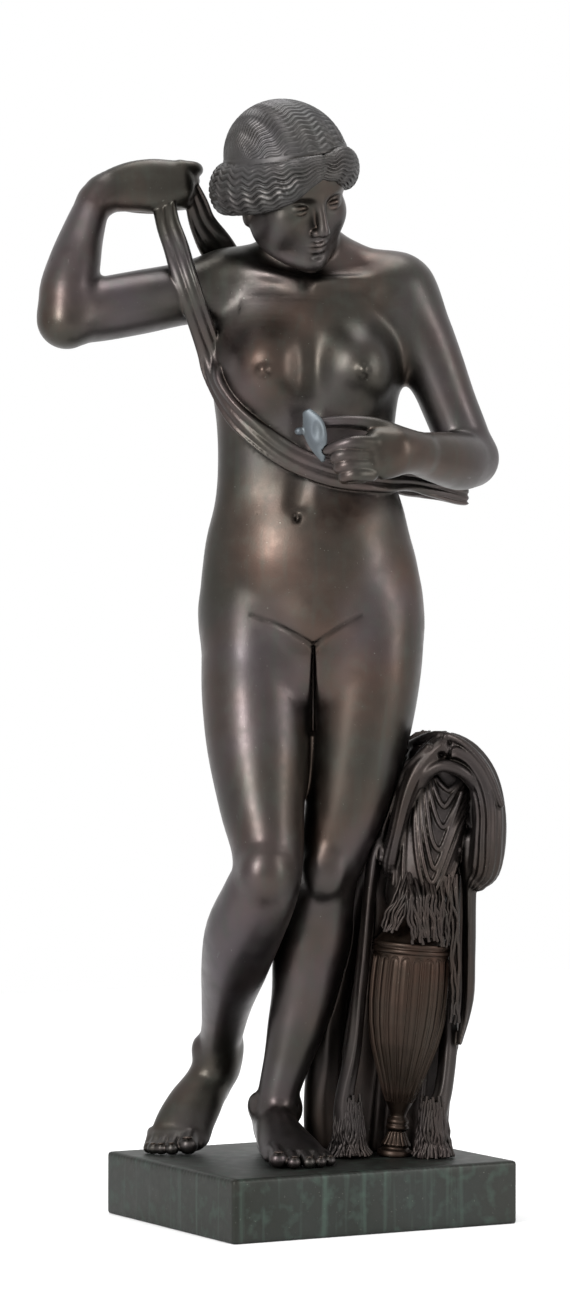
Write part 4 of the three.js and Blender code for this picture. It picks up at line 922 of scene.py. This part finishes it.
def model_towel(clay):
    # The mass behind the urn, with upright folds
    clay.add(limb([
        [120, 78, 12, 82, 32],
        [130, 76, 120, 82, 32],
        [148, 74, 240, 84, 34],
        [156, 68, 360, 80, 42],
        [154, 52, 460, 84, 52],
        [166, 44, 530, 80, 58],
        [176, 44, 574, 60, 50],
        [180, 44, 600, 34, 32],
    ], relief=ripple((4, 17, 0), (3, 9, 1)), square=2.4), 0)
    # Falls at both sides of the urn, and a wider one behind on the left
    creased = gathers(2.2, 6, 0.4)
    clay.add(limb([[100, 4, 470, 16, 26], [91, -2, 414, 11, 24], [77, -8, 272, 11, 24],
                   [64, -12, 160, 13, 24], [50, -16, 74, 16, 22], [58, -18, 8, 24, 20]], relief=creased), 5)
    clay.add(limb([[240, 14, 470, 22, 28], [239, 8, 407, 12, 24], [238, 2, 310, 11, 22],
                   [236, 0, 235, 10, 20], [224, -2, 170, 4, 10]], relief=creased), 5)
    clay.add(limb([[206, 34, 250, 16, 24], [208, 20, 170, 15, 24], [200, 0, 100, 15, 24],
                   [188, -14, 60, 19, 22], [183, -18, 8, 24, 20]], relief=creased), 8)
    clay.add(limb([[76, 60, 420, 26, 30], [50, 60, 300, 24, 28], [26, 60, 180, 26, 28],
                   [18, 62, 90, 28, 28], [20, 62, 12, 30, 28]], relief=creased), 8)
    # The hanging front, and the pleats that swing across it
    clay.add(limb([[190, 20, 596, 44, 26], [188, 10, 548, 48, 32], [180, 4, 490, 50, 40],
                   [170, 0, 432, 50, 46], [160, 0, 396, 46, 44]], square=2.4), 4)
    for places in (
        [(188, 568), (198, 556), (207, 550), (216, 556), (225, 566)],
        [(176, 568), (181, 536), (189, 508), (199, 495), (211, 514), (223, 540), (232, 558)],
        [(166, 568), (168, 508), (175, 462), (185, 434), (201, 466), (220, 514), (233, 536)],
        [(158, 566), (156, 492), (162, 432), (176, 392), (190, 408), (212, 462), (232, 512)],
        [(150, 562), (142, 490), (138, 424), (140, 396)],
        [(141, 552), (131, 474), (124, 410)],
        [(182, 566), (190, 540), (200, 526), (212, 540), (227, 562)],
        [(171, 568), (175, 520), (181, 478), (193, 462), (207, 492), (226, 546)],
        [(162, 567), (162, 500), (168, 444), (180, 412), (194, 436), (216, 492), (233, 524)],
        [(218, 440), (208, 408), (205, 380)],
        [(224, 462), (214, 400), (210, 372)],
        [(202, 420), (199, 396), (198, 372)],
    ):
        pleat(clay, places, 3.6, blend=2.2)
    # The dark channel beside the pleats
    clay.cut(limb([[236, -34, 566, 5, 20], [238, -38, 500, 6, 24], [236, -38, 440, 6, 24],
                   [234, -34, 410, 5, 20]]), 5)
    # The roll behind, and the great roll that arches over the top with a loop at each end
    clay.add(limb([[128, 56, 540, 26, 46], [176, 40, 590, 27, 58], [226, 44, 556, 29, 54],
                   [250, 48, 484, 26, 44]], relief=gathers(3.5, 12, 0.5)), 8)
    clay.add(limb([[118, -12, 428, 9, 14], [119, -20, 446, 14, 22], [127, -24, 484, 13, 26],
                   [141, -26, 535, 15, 28], [162, -24, 580, 18, 30], [195, -20, 612, 22, 32]],
                  relief=gathers(2.6, 9, 0.6)), 5)
    clay.add(limb([[162, -22, 578, 18, 30], [195, -20, 612, 22, 32], [230, -18, 604, 23, 34],
                   [256, -16, 570, 24, 36], [268, -14, 520, 25, 38], [267, -12, 468, 26, 38],
                   [261, -10, 432, 24, 32], [250, -8, 414, 17, 22]],
                  relief=gathers(4.2, 13, 0.7)), 5)
    for places in (
        [(106, 448), (109, 490), (124, 536), (143, 580), (176, 616)],
        [(150, 616), (186, 632), (226, 622), (262, 584), (284, 530)],
    ):
        pleat(clay, places, 5.5)
    # The lip across the top of the hanging front, and the dark opening above it
    clay.add(limb([[166, -36, 560, 7, 10], [176, -44, 577, 9, 12], [194, -48, 587, 9.5, 12],
                   [214, -48, 584, 9.5, 12], [232, -42, 573, 9, 12], [244, -32, 556, 7, 10]], side=Z), 4)
    clay.cut(ellipsoid([196, -58, 603], [7, 22, 6]), 3)


def model_towel_cast(lower_figure):
    """The towel without its fringe, kept clear of the figure's leg."""
    clay = Clay()
    model_towel(clay)
    clay.cut(lower_figure.grown(TOWEL_GAP, *LEG_BOX))
    clay.cut(below(SEAT_GAP))
    return clay


def lathe(profile, around, relief):
    """A closed mesh turned about the z axis. relief moves a point out by its angle and height."""
    radii, heights = np.array(profile, float).T
    angle = np.linspace(0, 2 * np.pi, around, endpoint=False)
    grid_angle = np.tile(angle, len(radii))
    grid_height = np.repeat(heights, around)
    reach = np.repeat(radii, around)
    reach = reach + relief(grid_angle, grid_height) * (reach > 1)
    points = np.column_stack([reach * np.cos(grid_angle), reach * np.sin(grid_angle), grid_height])
    row = np.arange(around)
    rings = np.arange(len(radii) - 1)[:, None] * around
    a, b = rings + row, rings + (row + 1) % around
    faces = np.stack([a, b, b + around, a + around], axis=-1).reshape(-1, 4)
    return points, faces


def dense(profile, step):
    """The same outline with points no further apart than a step."""
    rows = [profile[0]]
    for start, end in zip(profile, profile[1:]):
        count = max(1, math.ceil(math.dist(start, end) / step))
        rows += [[start[i] + (end[i] - start[i]) * k / count for i in (0, 1)] for k in range(1, count + 1)]
    return rows


def flute_relief(angle, z):
    """Sunk panels with round tops between ribs, and lobes round the foot."""
    radii, heights = np.array(URN_BODY, float).T
    radius = np.interp(z, heights, radii)
    pitch = 2 * np.pi / URN_FLUTES
    beside = np.abs((angle % pitch) - pitch / 2) * radius
    half = radius * pitch / 2 - RIB_WIDTH / 2
    above = np.maximum(z - (FLUTE_TOP - half), 0)
    inside = half - np.hypot(beside, above)
    sunk = np.clip(inside / 1.6, 0, 1) * FLUTE_DEPTH
    crown = np.clip(inside / np.maximum(half, 1), 0, 1) * FLUTE_DEPTH * 0.45
    fade = np.clip((z - FLUTE_FOOT) / 40, 0, 1) * (z < FLUTE_TOP + 1)
    lobes = np.abs(np.cos(angle * GADROONS / 2)) ** 0.5 * 2.2 * ((z > 16.5) & (z < 36.5))
    return (crown - sunk) * fade + lobes


def flute_outline(beyond):
    """One flute's edge on the urn's body, up one side, round the top and down the other."""
    radii, heights = np.array(URN_BODY, float).T
    half_pitch = math.pi / URN_FLUTES
    top_half = float(np.interp(FLUTE_TOP, heights, radii)) * half_pitch - RIB_WIDTH / 2 + beyond
    rows = []
    for z in np.linspace(FLUTE_FOOT + 6, FLUTE_TOP - top_half, 44):
        radius = float(np.interp(z, heights, radii))
        rows.append((half_pitch * radius - RIB_WIDTH / 2 + beyond, z, radius))
    for turn_by in np.linspace(0, math.pi / 2, 9)[1:]:
        z = FLUTE_TOP - top_half + top_half * math.sin(turn_by)
        rows.append((top_half * math.cos(turn_by), z, float(np.interp(z, heights, radii))))
    path = rows + [(-w, z, radius) for w, z, radius in rows[-2::-1]]
    return np.array([[radius * math.cos(w / radius), radius * math.sin(w / radius), z]
                     for w, z, radius in path])


def curve_object(name, paths, radii=None):
    """Straight-segment curves through lists of points, in millimetres."""
    data = bpy.data.curves.new(name, "CURVE")
    data.dimensions = "3D"
    for i, path in enumerate(paths):
        spline = data.splines.new("POLY")
        spline.points.add(len(path) - 1)
        spline.points.foreach_set("co", np.column_stack([path, np.ones(len(path))]).ravel())
        if radii is not None:
            spline.points.foreach_set("radius", radii[i])
    made = bpy.data.objects.new(name, data)
    bpy.context.scene.collection.objects.link(made)
    return made


def geometry_tree(name, inputs):
    """A node group that takes a geometry and named sizes, and gives a geometry."""
    tree = bpy.data.node_groups.new(name, "GeometryNodeTree")
    tree.interface.new_socket("Geometry", in_out="INPUT", socket_type="NodeSocketGeometry")
    for label, kind in inputs:
        tree.interface.new_socket(label, in_out="INPUT", socket_type=kind)
    tree.interface.new_socket("Geometry", in_out="OUTPUT", socket_type="NodeSocketGeometry")
    return tree, tree.nodes.new("NodeGroupInput").outputs


def run_tree(thing, tree, values):
    """Runs a node group on an object and keeps its result as a plain mesh object of the same name."""
    modifier = thing.modifiers.new(tree.name, "NODES")
    modifier.node_group = tree
    for item in tree.interface.items_tree:
        if item.in_out == "INPUT" and item.name in values:
            modifier[item.identifier] = values[item.name]
    graph = bpy.context.evaluated_depsgraph_get()
    plain = bpy.data.meshes.new_from_object(thing.evaluated_get(graph))
    name = thing.name
    bpy.data.objects.remove(thing)
    made = bpy.data.objects.new(name, plain)
    bpy.context.scene.collection.objects.link(made)
    plain.polygons.foreach_set("use_smooth", np.ones(len(plain.polygons), bool))
    return made


def move_points(thing, change):
    """Moves a mesh's points by a function of all of them."""
    mesh = thing.data
    places = np.empty(len(mesh.vertices) * 3, np.float32)
    mesh.vertices.foreach_get("co", places)
    moved = change(places.reshape(-1, 3).astype(float))
    mesh.vertices.foreach_set("co", moved.astype(np.float32).ravel())
    mesh.update()


def urn_to_plinth(points):
    """From the urn's own upright frame, leant and set down, to the part's frame."""
    moved = points @ URN_TURN.T + np.array(URN_PLACE, float)
    moved[:, 2] = np.maximum(moved[:, 2], SEAT_GAP)
    return to_plinth(moved)


def bead_tree():
    """A fine bead along each flute's edge, repeated round the urn."""
    tree, given = geometry_tree("flute_beads", [
        ("Flutes", "NodeSocketInt"), ("Bead radius", "NodeSocketFloat"), ("Material", "NodeSocketMaterial")])
    ring = node(tree, "GeometryNodeCurvePrimitiveCircle", {"Resolution": 6, "Radius": given["Bead radius"]})
    bead = node(tree, "GeometryNodeCurveToMesh", {
        "Curve": given["Geometry"], "Profile Curve": ring.outputs["Curve"], "Fill Caps": True})
    spots = node(tree, "GeometryNodePoints", {"Count": given["Flutes"]})
    index = node(tree, "GeometryNodeInputIndex").outputs["Index"]
    share = node(tree, "ShaderNodeMath", {0: index, 1: given["Flutes"]}, operation="DIVIDE").outputs[0]
    angle = node(tree, "ShaderNodeMath", {0: share, 1: 2 * math.pi}, operation="MULTIPLY").outputs[0]
    spin = node(tree, "ShaderNodeCombineXYZ", {"Z": angle}).outputs["Vector"]
    copies = node(tree, "GeometryNodeInstanceOnPoints", {
        "Points": spots.outputs[0], "Instance": bead.outputs["Mesh"], "Rotation": spin})
    real = node(tree, "GeometryNodeRealizeInstances", {"Geometry": copies.outputs["Instances"]})
    dressed = node(tree, "GeometryNodeSetMaterial", {
        "Geometry": real.outputs["Geometry"], "Material": given["Material"]})
    node(tree, "NodeGroupOutput", {"Geometry": dressed.outputs["Geometry"]})
    return tree


def make_urn():
    """The urn's turned body with its sunk flutes, and the beads along them."""
    bronze = urn_bronze()
    profile = dense(URN_FOOT + URN_FLARE + URN_NECK + URN_BODY + URN_SHOULDER, 2.6)
    points, faces = lathe(profile, URN_AROUND, flute_relief)
    body = mesh_object("fluted_urn", points, faces)
    bake(body)
    body.data.materials.append(bronze)
    beads = curve_object("flute_beads", [flute_outline(0.4)])
    beads = run_tree(beads, bead_tree(), {"Flutes": URN_FLUTES, "Bead radius": 0.9, "Material": bronze})
    half_turn = turn(0, 0, 180 / URN_FLUTES)
    move_points(beads, lambda p: p @ half_turn.T)
    for piece in (body, beads):
        move_points(piece, urn_to_plinth)
    return [body, beads]


def strand_tree():
    """Wavy strands of a fringe along each curve, which thin out towards their tips."""
    tree, given = geometry_tree("fringe_strands", [
        ("Strand radius", "NodeSocketFloat"), ("Wave height", "NodeSocketFloat"),
        ("Wave length", "NodeSocketFloat"), ("Seed", "NodeSocketFloat"), ("Material", "NodeSocketMaterial")])
    fine = node(tree, "GeometryNodeResampleCurve", {"Curve": given["Geometry"], "Count": 30})
    along = node(tree, "GeometryNodeSplineParameter").outputs
    place = node(tree, "GeometryNodeInputPosition").outputs["Position"]
    scale = node(tree, "ShaderNodeMath", {0: 1.0, 1: given["Wave length"]}, operation="DIVIDE").outputs[0]
    noise = node(tree, "ShaderNodeTexNoise", {
        "Vector": place, "W": given["Seed"], "Scale": scale, "Detail": 1.0}, noise_dimensions="4D")
    centred = node(tree, "ShaderNodeVectorMath", {0: noise.outputs["Color"], 1: (0.5, 0.5, 0.5)},
                   operation="SUBTRACT").outputs[0]
    swing = node(tree, "ShaderNodeMath", {0: along["Factor"], 1: given["Wave height"]},
                 operation="MULTIPLY").outputs[0]
    shift = node(tree, "ShaderNodeVectorMath", {0: centred, "Scale": swing}, operation="SCALE").outputs[0]
    moved = node(tree, "GeometryNodeSetPosition", {"Geometry": fine.outputs["Curve"], "Offset": shift})
    taper = node(tree, "ShaderNodeMapRange", {
        "Value": along["Factor"], "From Min": 0.55, "From Max": 1.0, "To Min": 1.0, "To Max": 0.5})
    thin = node(tree, "GeometryNodeSetCurveRadius", {
        "Curve": moved.outputs["Geometry"], "Radius": taper.outputs["Result"]})
    ring = node(tree, "GeometryNodeCurvePrimitiveCircle", {"Resolution": 8, "Radius": given["Strand radius"]})
    strand = node(tree, "GeometryNodeCurveToMesh", {
        "Curve": thin.outputs["Curve"], "Profile Curve": ring.outputs["Curve"], "Fill Caps": True})
    real = node(tree, "GeometryNodeRealizeInstances", {"Geometry": strand.outputs["Mesh"]})
    dressed = node(tree, "GeometryNodeSetMaterial", {
        "Geometry": real.outputs["Geometry"], "Material": given["Material"]})
    node(tree, "NodeGroupOutput", {"Geometry": dressed.outputs["Geometry"]})
    return tree


def fringe_paths():
    """Each tassel's strands: lists of points, in millimetres."""
    chance = np.random.default_rng(5)
    paths = []
    # Bunches over the urn's shoulder: [top x, top z, bottom x, bottom z, strands]
    bunches = ((148, 428, 118, 346, 6), (150, 424, 164, 328, 6), (176, 420, 184, 330, 6),
               (200, 420, 206, 322, 6))
    for top_x, top_z, foot_x, foot_z, count in bunches:
        for layer in (0, 1):
            for i in range(count):
                spread = (i + 0.5 * layer) / count - 0.5
                x0, x1 = top_x + spread * 17, foot_x + spread * 27 + chance.uniform(-2, 2)
                z0, z1 = top_z + chance.uniform(-8, 8), foot_z + chance.uniform(-7, 7)
                y0 = -34 - 3 * layer
                axis = URN_PLACE[0] + math.sin(math.radians(URN_LEAN)) * z1
                y1 = -math.sqrt(max(60.0, 62.0 ** 2 - (x1 - axis) ** 2)) - 2 - 2.5 * layer
                bow = 5 * math.sin(i * 1.9 + layer)
                wide, drop, front = x1 - x0, z1 - z0, min(y0, y1)
                paths.append([(x0, y0, z0),
                              (x0 + wide * 0.3 + bow, front - 5, z0 + drop * 0.35),
                              (x0 + wide * 0.7 - bow, front - 3, z0 + drop * 0.7),
                              (x1, y1, z1)])
    # The strip that hangs down beside the urn
    for i in range(9):
        x = 211 + (i % 3) * 4.5
        y = -34 + (i // 3) * 9
        bow = 3 * math.sin(i * 2.1)
        paths.append([(x - 2, y + 6, 424), (x + 2 + bow, y - 4, 350), (x - 1 - bow, y, 296),
                      (x + 3 + bow, y + 4, 244), (x, y + 7, 200 + chance.uniform(-10, 24))])
    # The fringed ends on the plinth
    for x0, y0 in ((58, -18), (183, -18)):
        for layer, count in ((0, 22), (1, 21), (2, 20)):
            for i in range(count):
                angle = math.pi * (0.84 + 1.32 * (i + 0.33 * layer) / count)
                dx, dy = math.cos(angle), math.sin(angle)
                top, reach = 16 + 2 * layer, 25 + 4 * layer + chance.uniform(-2, 2)
                bow = chance.uniform(-4, 4)
                start = 88 - 12 * layer + chance.uniform(-8, 8)
                paths.append([(x0 + dx * top, y0 + dy * top, start),
                              (x0 + dx * (top + 2) + bow, y0 + dy * (top + 2), start * 0.62),
                              (x0 + dx * (top + 5) - bow, y0 + dy * (top + 3), start * 0.3),
                              (x0 + dx * reach, y0 + dy * reach * 0.9, 3.0)])
    return paths


def make_fringe(bronze):
    """The towel's fringe, each strand a wavy cord of bronze."""
    strands = curve_object("towel_fringe", [np.array(path, float) for path in fringe_paths()])
    strands = run_tree(strands, strand_tree(), {
        "Strand radius": 2.6, "Wave height": 12.0, "Wave length": 15.0, "Seed": 3.0, "Material": bronze})
    move_points(strands, lambda p: to_plinth(np.column_stack([p[:, :2], np.maximum(p[:, 2], SEAT_GAP)])))
    return strands


def model_plinth():
    """A block with softly worn edges and the slight unevenness of a sand casting."""
    half = np.array([PLINTH_LENGTH, PLINTH_WIDTH, PLINTH_HEIGHT]) / 2 - PLINTH_EDGE
    facing = turn(0, 0, -FACING)
    middle = np.array([0, 0, -PLINTH_HEIGHT / 2])

    def distance(p):
        local = (p - middle) @ facing
        away = np.abs(local) - half
        outside = np.linalg.norm(np.maximum(away, 0), axis=1)
        uneven = np.sin(local[:, 0] / 41 + 1) * np.sin(local[:, 1] / 37) * np.sin(local[:, 2] / 29 + 2)
        return outside + np.minimum(away.max(axis=1), 0) - PLINTH_EDGE + 0.15 + 0.15 * uneven

    clay = Clay()
    clay.add(Form((-450, -450, -PLINTH_HEIGHT), (450, 450, 0), distance))
    return clay


def model_clasp(figure):
    """The small oval plate with its stub, kept clear of the fingers that hold it."""
    clay = Clay()
    clay.add(limb([[-6, -212, 1108, 8, 3.5], [2, -214, 1091, 17, 4.5], [7, -215, 1073, 18, 4.5],
                   [12, -214, 1055, 13, 4], [17, -212, 1038, 4, 3]], side=(0.9, -0.45, 0.2)))
    clay.add(ellipsoid([-17, -205, 1080], [7, 6, 6]), 5)
    clay.cut(ellipsoid([4, -229, 1076], [14, 11, 26]), 2)
    clay.cut(figure.grown(CLASP_GAP, *CLASP_BOX))
    return clay


# Materials
def colour(hex_code):
    """An sRGB hex value as linear red, green, blue and alpha."""
    parts = [int(hex_code[i:i + 2], 16) / 255 for i in (1, 3, 5)]
    return (*(c / 12.92 if c <= 0.04045 else ((c + 0.055) / 1.055) ** 2.4 for c in parts), 1)


def node(tree, kind, inputs=None, **settings):
    """Adds a node with its settings. inputs gives sockets a value each, or another node's output."""
    made = tree.nodes.new(kind)
    for name, value in settings.items():
        setattr(made, name, value)
    for name, value in (inputs or {}).items():
        if isinstance(value, bpy.types.NodeSocket):
            tree.links.new(value, made.inputs[name])
        else:
            made.inputs[name].default_value = value
    return made


def new_material(name):
    """A material with an empty node tree."""
    made = bpy.data.materials.new(name)
    made.use_nodes = True
    made.node_tree.nodes.clear()
    return made


def ramp(tree, factor, stops):
    """A ramp through stops of a place with a hex colour or a grey value."""
    made = node(tree, "ShaderNodeValToRGB", {"Fac": factor})
    elements = made.color_ramp.elements
    while len(elements) < len(stops):
        elements.new(0.5)
    for element, (place, value) in zip(elements, stops):
        element.position = place
        element.color = colour(value) if isinstance(value, str) else (value, value, value, 1)
    return made.outputs["Color"]


def mix(tree, factor, a, b):
    """Socket 0 is a mix node's factor, and 6 and 7 are its two colours."""
    made = node(tree, "ShaderNodeMix", {0: factor, 6: a, 7: b}, data_type="RGBA")
    return made.outputs[2]


def patinated_bronze(name, ground, warm, cool_and_sheen, deposit, rubbed, least_roughness):
    """Cast bronze, chased smooth, patinated and waxed.

    A dark ground with clouds of a warm and a cooler brown, the cooler partly a painted sheen, paler where it
    is rubbed on its ridges and with painted shade, almost black, in its hollows. A dull deposit lies in
    patches, and in thin upright streaks where rain has run.
    """
    made = new_material(name)
    tree = made.node_tree
    place = node(tree, "ShaderNodeTexCoord").outputs["Object"]

    def noise(scale, detail, shift=0.0, stretch=(1, 1, 1)):
        at = node(tree, "ShaderNodeMapping", {
            "Vector": place, "Location": (shift, shift, 0), "Scale": stretch})
        return node(tree, "ShaderNodeTexNoise", {
            "Vector": at.outputs["Vector"], "Scale": scale, "Detail": detail}).outputs["Fac"]

    # Clouds about two hands wide, mottling a finger wide and specks of a few millimetres
    warmth = ramp(tree, noise(6.0, 4.0), [(0.42, 0.0), (0.72, 0.9)])
    # The cooler clouds are partly a random tone and partly a painted sheen, laid in random patches
    cool_and_sheen_amount = ramp(tree, noise(4.5, 3.0, 7.0), [(0.42, 0.0), (0.72, 0.9)])
    skin_colour = mix(tree, warmth, colour(ground), colour(warm))
    skin_colour = mix(tree, cool_and_sheen_amount, skin_colour, colour(cool_and_sheen))
    mottle = noise(44.0, 6.0)
    skin_colour = mix(tree, ramp(tree, mottle, [(0.52, 0.0), (0.75, 0.3)]), skin_colour, colour(deposit))
    streaks = noise(60.0, 3.0, 3.0, (1, 1, 0.05))
    skin_colour = mix(tree, ramp(tree, streaks, [(0.55, 0.0), (0.75, 0.35)]), skin_colour, colour(deposit))
    painted_hollow_shade = node(tree, "ShaderNodeAttribute", attribute_name="painted_hollow_shade").outputs["Fac"]
    ridge = node(tree, "ShaderNodeAttribute", attribute_name="ridge").outputs["Fac"]
    # Painted shade: the hollows are darkened almost to black
    skin_colour = mix(tree, ramp(tree, painted_hollow_shade, [(0.1, 0.0), (0.6, 0.85)]), skin_colour, colour("#171512"))
    skin_colour = mix(tree, ramp(tree, ridge, [(0.25, 0.0), (0.8, 0.35)]), skin_colour, colour(rubbed))
    specks = noise(330.0, 2.0, 5.0)
    skin_colour = mix(tree, ramp(tree, specks, [(0.74, 0.0), (0.78, 0.5)]), skin_colour, colour("#8f9288"))
    roughness = ramp(tree, mottle, [(0.3, least_roughness), (0.75, least_roughness + 0.14)])
    grain = noise(420.0, 3.0)
    bump = node(tree, "ShaderNodeBump", {"Height": grain, "Strength": 0.15, "Distance": 0.0006})
    shader = node(tree, "ShaderNodeBsdfPrincipled", {
        "Base Color": skin_colour,
        "Metallic": 1.0,
        "Roughness": roughness,
        "Normal": bump.outputs["Normal"],
        "Coat Weight": 0.15,
        "Coat Roughness": 0.35,
    })
    node(tree, "ShaderNodeOutputMaterial", {"Surface": shader.outputs["BSDF"]})
    return made


def figure_bronze():
    """Dark patinated bronze, waxed: brown, with long soft highlights down the limbs."""
    return patinated_bronze(
        "patinated_cast_bronze", "#37342f", "#4a3a33", "#4b4549", "#3e433d", "#66564c", 0.34)


def hair_bronze():
    """The same bronze left matt and greyer, so that the locks stand out from their grooves, which get painted
    shade.
    """
    return patinated_bronze(
        "matt_cast_bronze", "#403f3e", "#46403c", "#4a494c", "#3a3d3a", "#7b7673", 0.44)


def towel_bronze():
    """Dark bronze with a dull satin, a little paler on its folds."""
    return patinated_bronze(
        "dark_cast_bronze", "#2f2a27", "#3b2f28", "#393536", "#32312d", "#5a5049", 0.42)


def urn_bronze():
    """Browner bronze, a little smoother than the towel."""
    return patinated_bronze(
        "brown_cast_bronze", "#2d241d", "#3c2820", "#362e28", "#2a2a24", "#57473a", 0.4)


def plate_bronze():
    """Pale grey bronze without the brown patina, almost like pewter."""
    return patinated_bronze(
        "grey_cast_bronze", "#484d51", "#4c5154", "#4d5257", "#404645", "#666c6f", 0.48)


def plinth_bronze():
    """Weathered bronze, almost black, with green streaks where rain has run down its sides."""
    return patinated_bronze(
        "weathered_cast_bronze", "#2c2e2a", "#363430", "#343735", "#566a60", "#6a6d66", 0.5)


def painted_floor():
    """Matt white studio floor."""
    made = new_material("studio_floor")
    tree = made.node_tree
    shader = node(tree, "ShaderNodeBsdfPrincipled", {"Base Color": colour("#f2f2f2"), "Roughness": 0.9})
    node(tree, "ShaderNodeOutputMaterial", {"Surface": shader.outputs["BSDF"]})
    return made


# Pieces
def dress(piece, node_name, material=None):
    """Puts a piece in the place of its CAD node, on the one body."""
    if material:
        piece.data.materials.clear()
        piece.data.materials.append(material)
    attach(piece, "root")
    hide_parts(node_name)


figure_clay = model_figure()
figure = cast("bronze_bather", figure_clay, *FIGURE_BOX, FINE_CELL, FIGURE_TRIANGLES)
dress(figure, "figure", figure_bronze())
hair = cast("bronze_hair", model_hair(), *HAIR_BOX, HAIR_CELL, HAIR_TRIANGLES, reach=6.0)
dress(hair, "figure", hair_bronze())
towel_clay = model_towel_cast(model_lower_figure())
towel = cast("draped_towel", towel_clay, *TOWEL_BOX, FINE_CELL, TOWEL_TRIANGLES)
dark_bronze = towel_bronze()
dress(towel, "draped_urn", dark_bronze)
for piece in [*make_urn(), make_fringe(dark_bronze)]:
    dress(piece, "draped_urn")
plate = cast("clasp_plate_cast", model_clasp(figure_clay), *CLASP_BOX, CLASP_CELL, CLASP_TRIANGLES)
dress(plate, "clasp_plate", plate_bronze())
plinth = cast("cast_plinth", model_plinth(), *PLINTH_BOX, PLINTH_CELL, PLINTH_TRIANGLES, reach=4.0)
dress(plinth, "plinth", plinth_bronze())

# Stage, camera and light
# Half the floor's side, in metres: it is small enough that all of it that shows is well lit
FLOOR_HALF = 3.8
floor = mesh_object("floor", np.array([[-1, -1, 0], [1, -1, 0], [1, 1, 0], [-1, 1, 0]], float) * FLOOR_HALF,
                    np.array([[0, 1, 2, 3]]))
floor.data.materials.append(painted_floor())

# The camera as fitted to the plinth's edges: metres, degrees, and the focal length in the photo's pixels
CAMERA_DISTANCE = 7.0
CAMERA_SIDE = -0.038
CAMERA_HEIGHT = 0.929
CAMERA_PITCH = 0.6
FOCAL_PIXELS = 4667
PHOTO_HEIGHT = 1297
SENSOR = 36.0

view_turn = Matrix.Rotation(math.radians(FACING), 4, "Z")
camera_data = bpy.data.cameras.new("photo_camera")
camera_data.sensor_width = SENSOR
camera_data.lens = FOCAL_PIXELS / PHOTO_HEIGHT * SENSOR
camera_data.clip_end = 60
camera = bpy.data.objects.new("photo_camera", camera_data)
bpy.context.scene.collection.objects.link(camera)
camera.matrix_world = (view_turn @ Matrix.Translation((CAMERA_SIDE, -CAMERA_DISTANCE, CAMERA_HEIGHT))
                       @ Matrix.Rotation(math.radians(90 - CAMERA_PITCH), 4, "X"))
bpy.context.scene.camera = camera
bpy.context.scene.view_settings.view_transform = "Standard"


def softbox(name, place, aim, size, power):
    """A rectangular studio light. Its place and aim are seen from the camera, in metres."""
    data = bpy.data.lights.new(name, "AREA")
    data.shape = "RECTANGLE"
    data.size, data.size_y = size
    data.energy = power
    light = bpy.data.objects.new(name, data)
    bpy.context.scene.collection.objects.link(light)
    start = view_turn @ Vector(place)
    aimed = (view_turn @ Vector(aim) - start).to_track_quat("-Z", "Y")
    light.matrix_world = Matrix.Translation(start) @ aimed.to_matrix().to_4x4()


# A strong key from the left, a weaker fill from the right and a light from above
softbox("key_left", (-2.2, -3.4, 2.4), (0, 0, 0.9), (0.8, 2.4), 190)
softbox("fill_right", (3.4, -1.6, 1.8), (0, 0, 0.9), (0.7, 2.6), 60)
softbox("top", (0.2, 0.4, 4.2), (0, 0, 0.9), (1.8, 1.8), 60)

world = bpy.data.worlds.new("studio")
bpy.context.scene.world = world
world.use_nodes = True
world.node_tree.nodes["Background"].inputs["Color"].default_value = colour("#ffffff")
world.node_tree.nodes["Background"].inputs["Strength"].default_value = 1.0

bpy.context.view_layer.update()
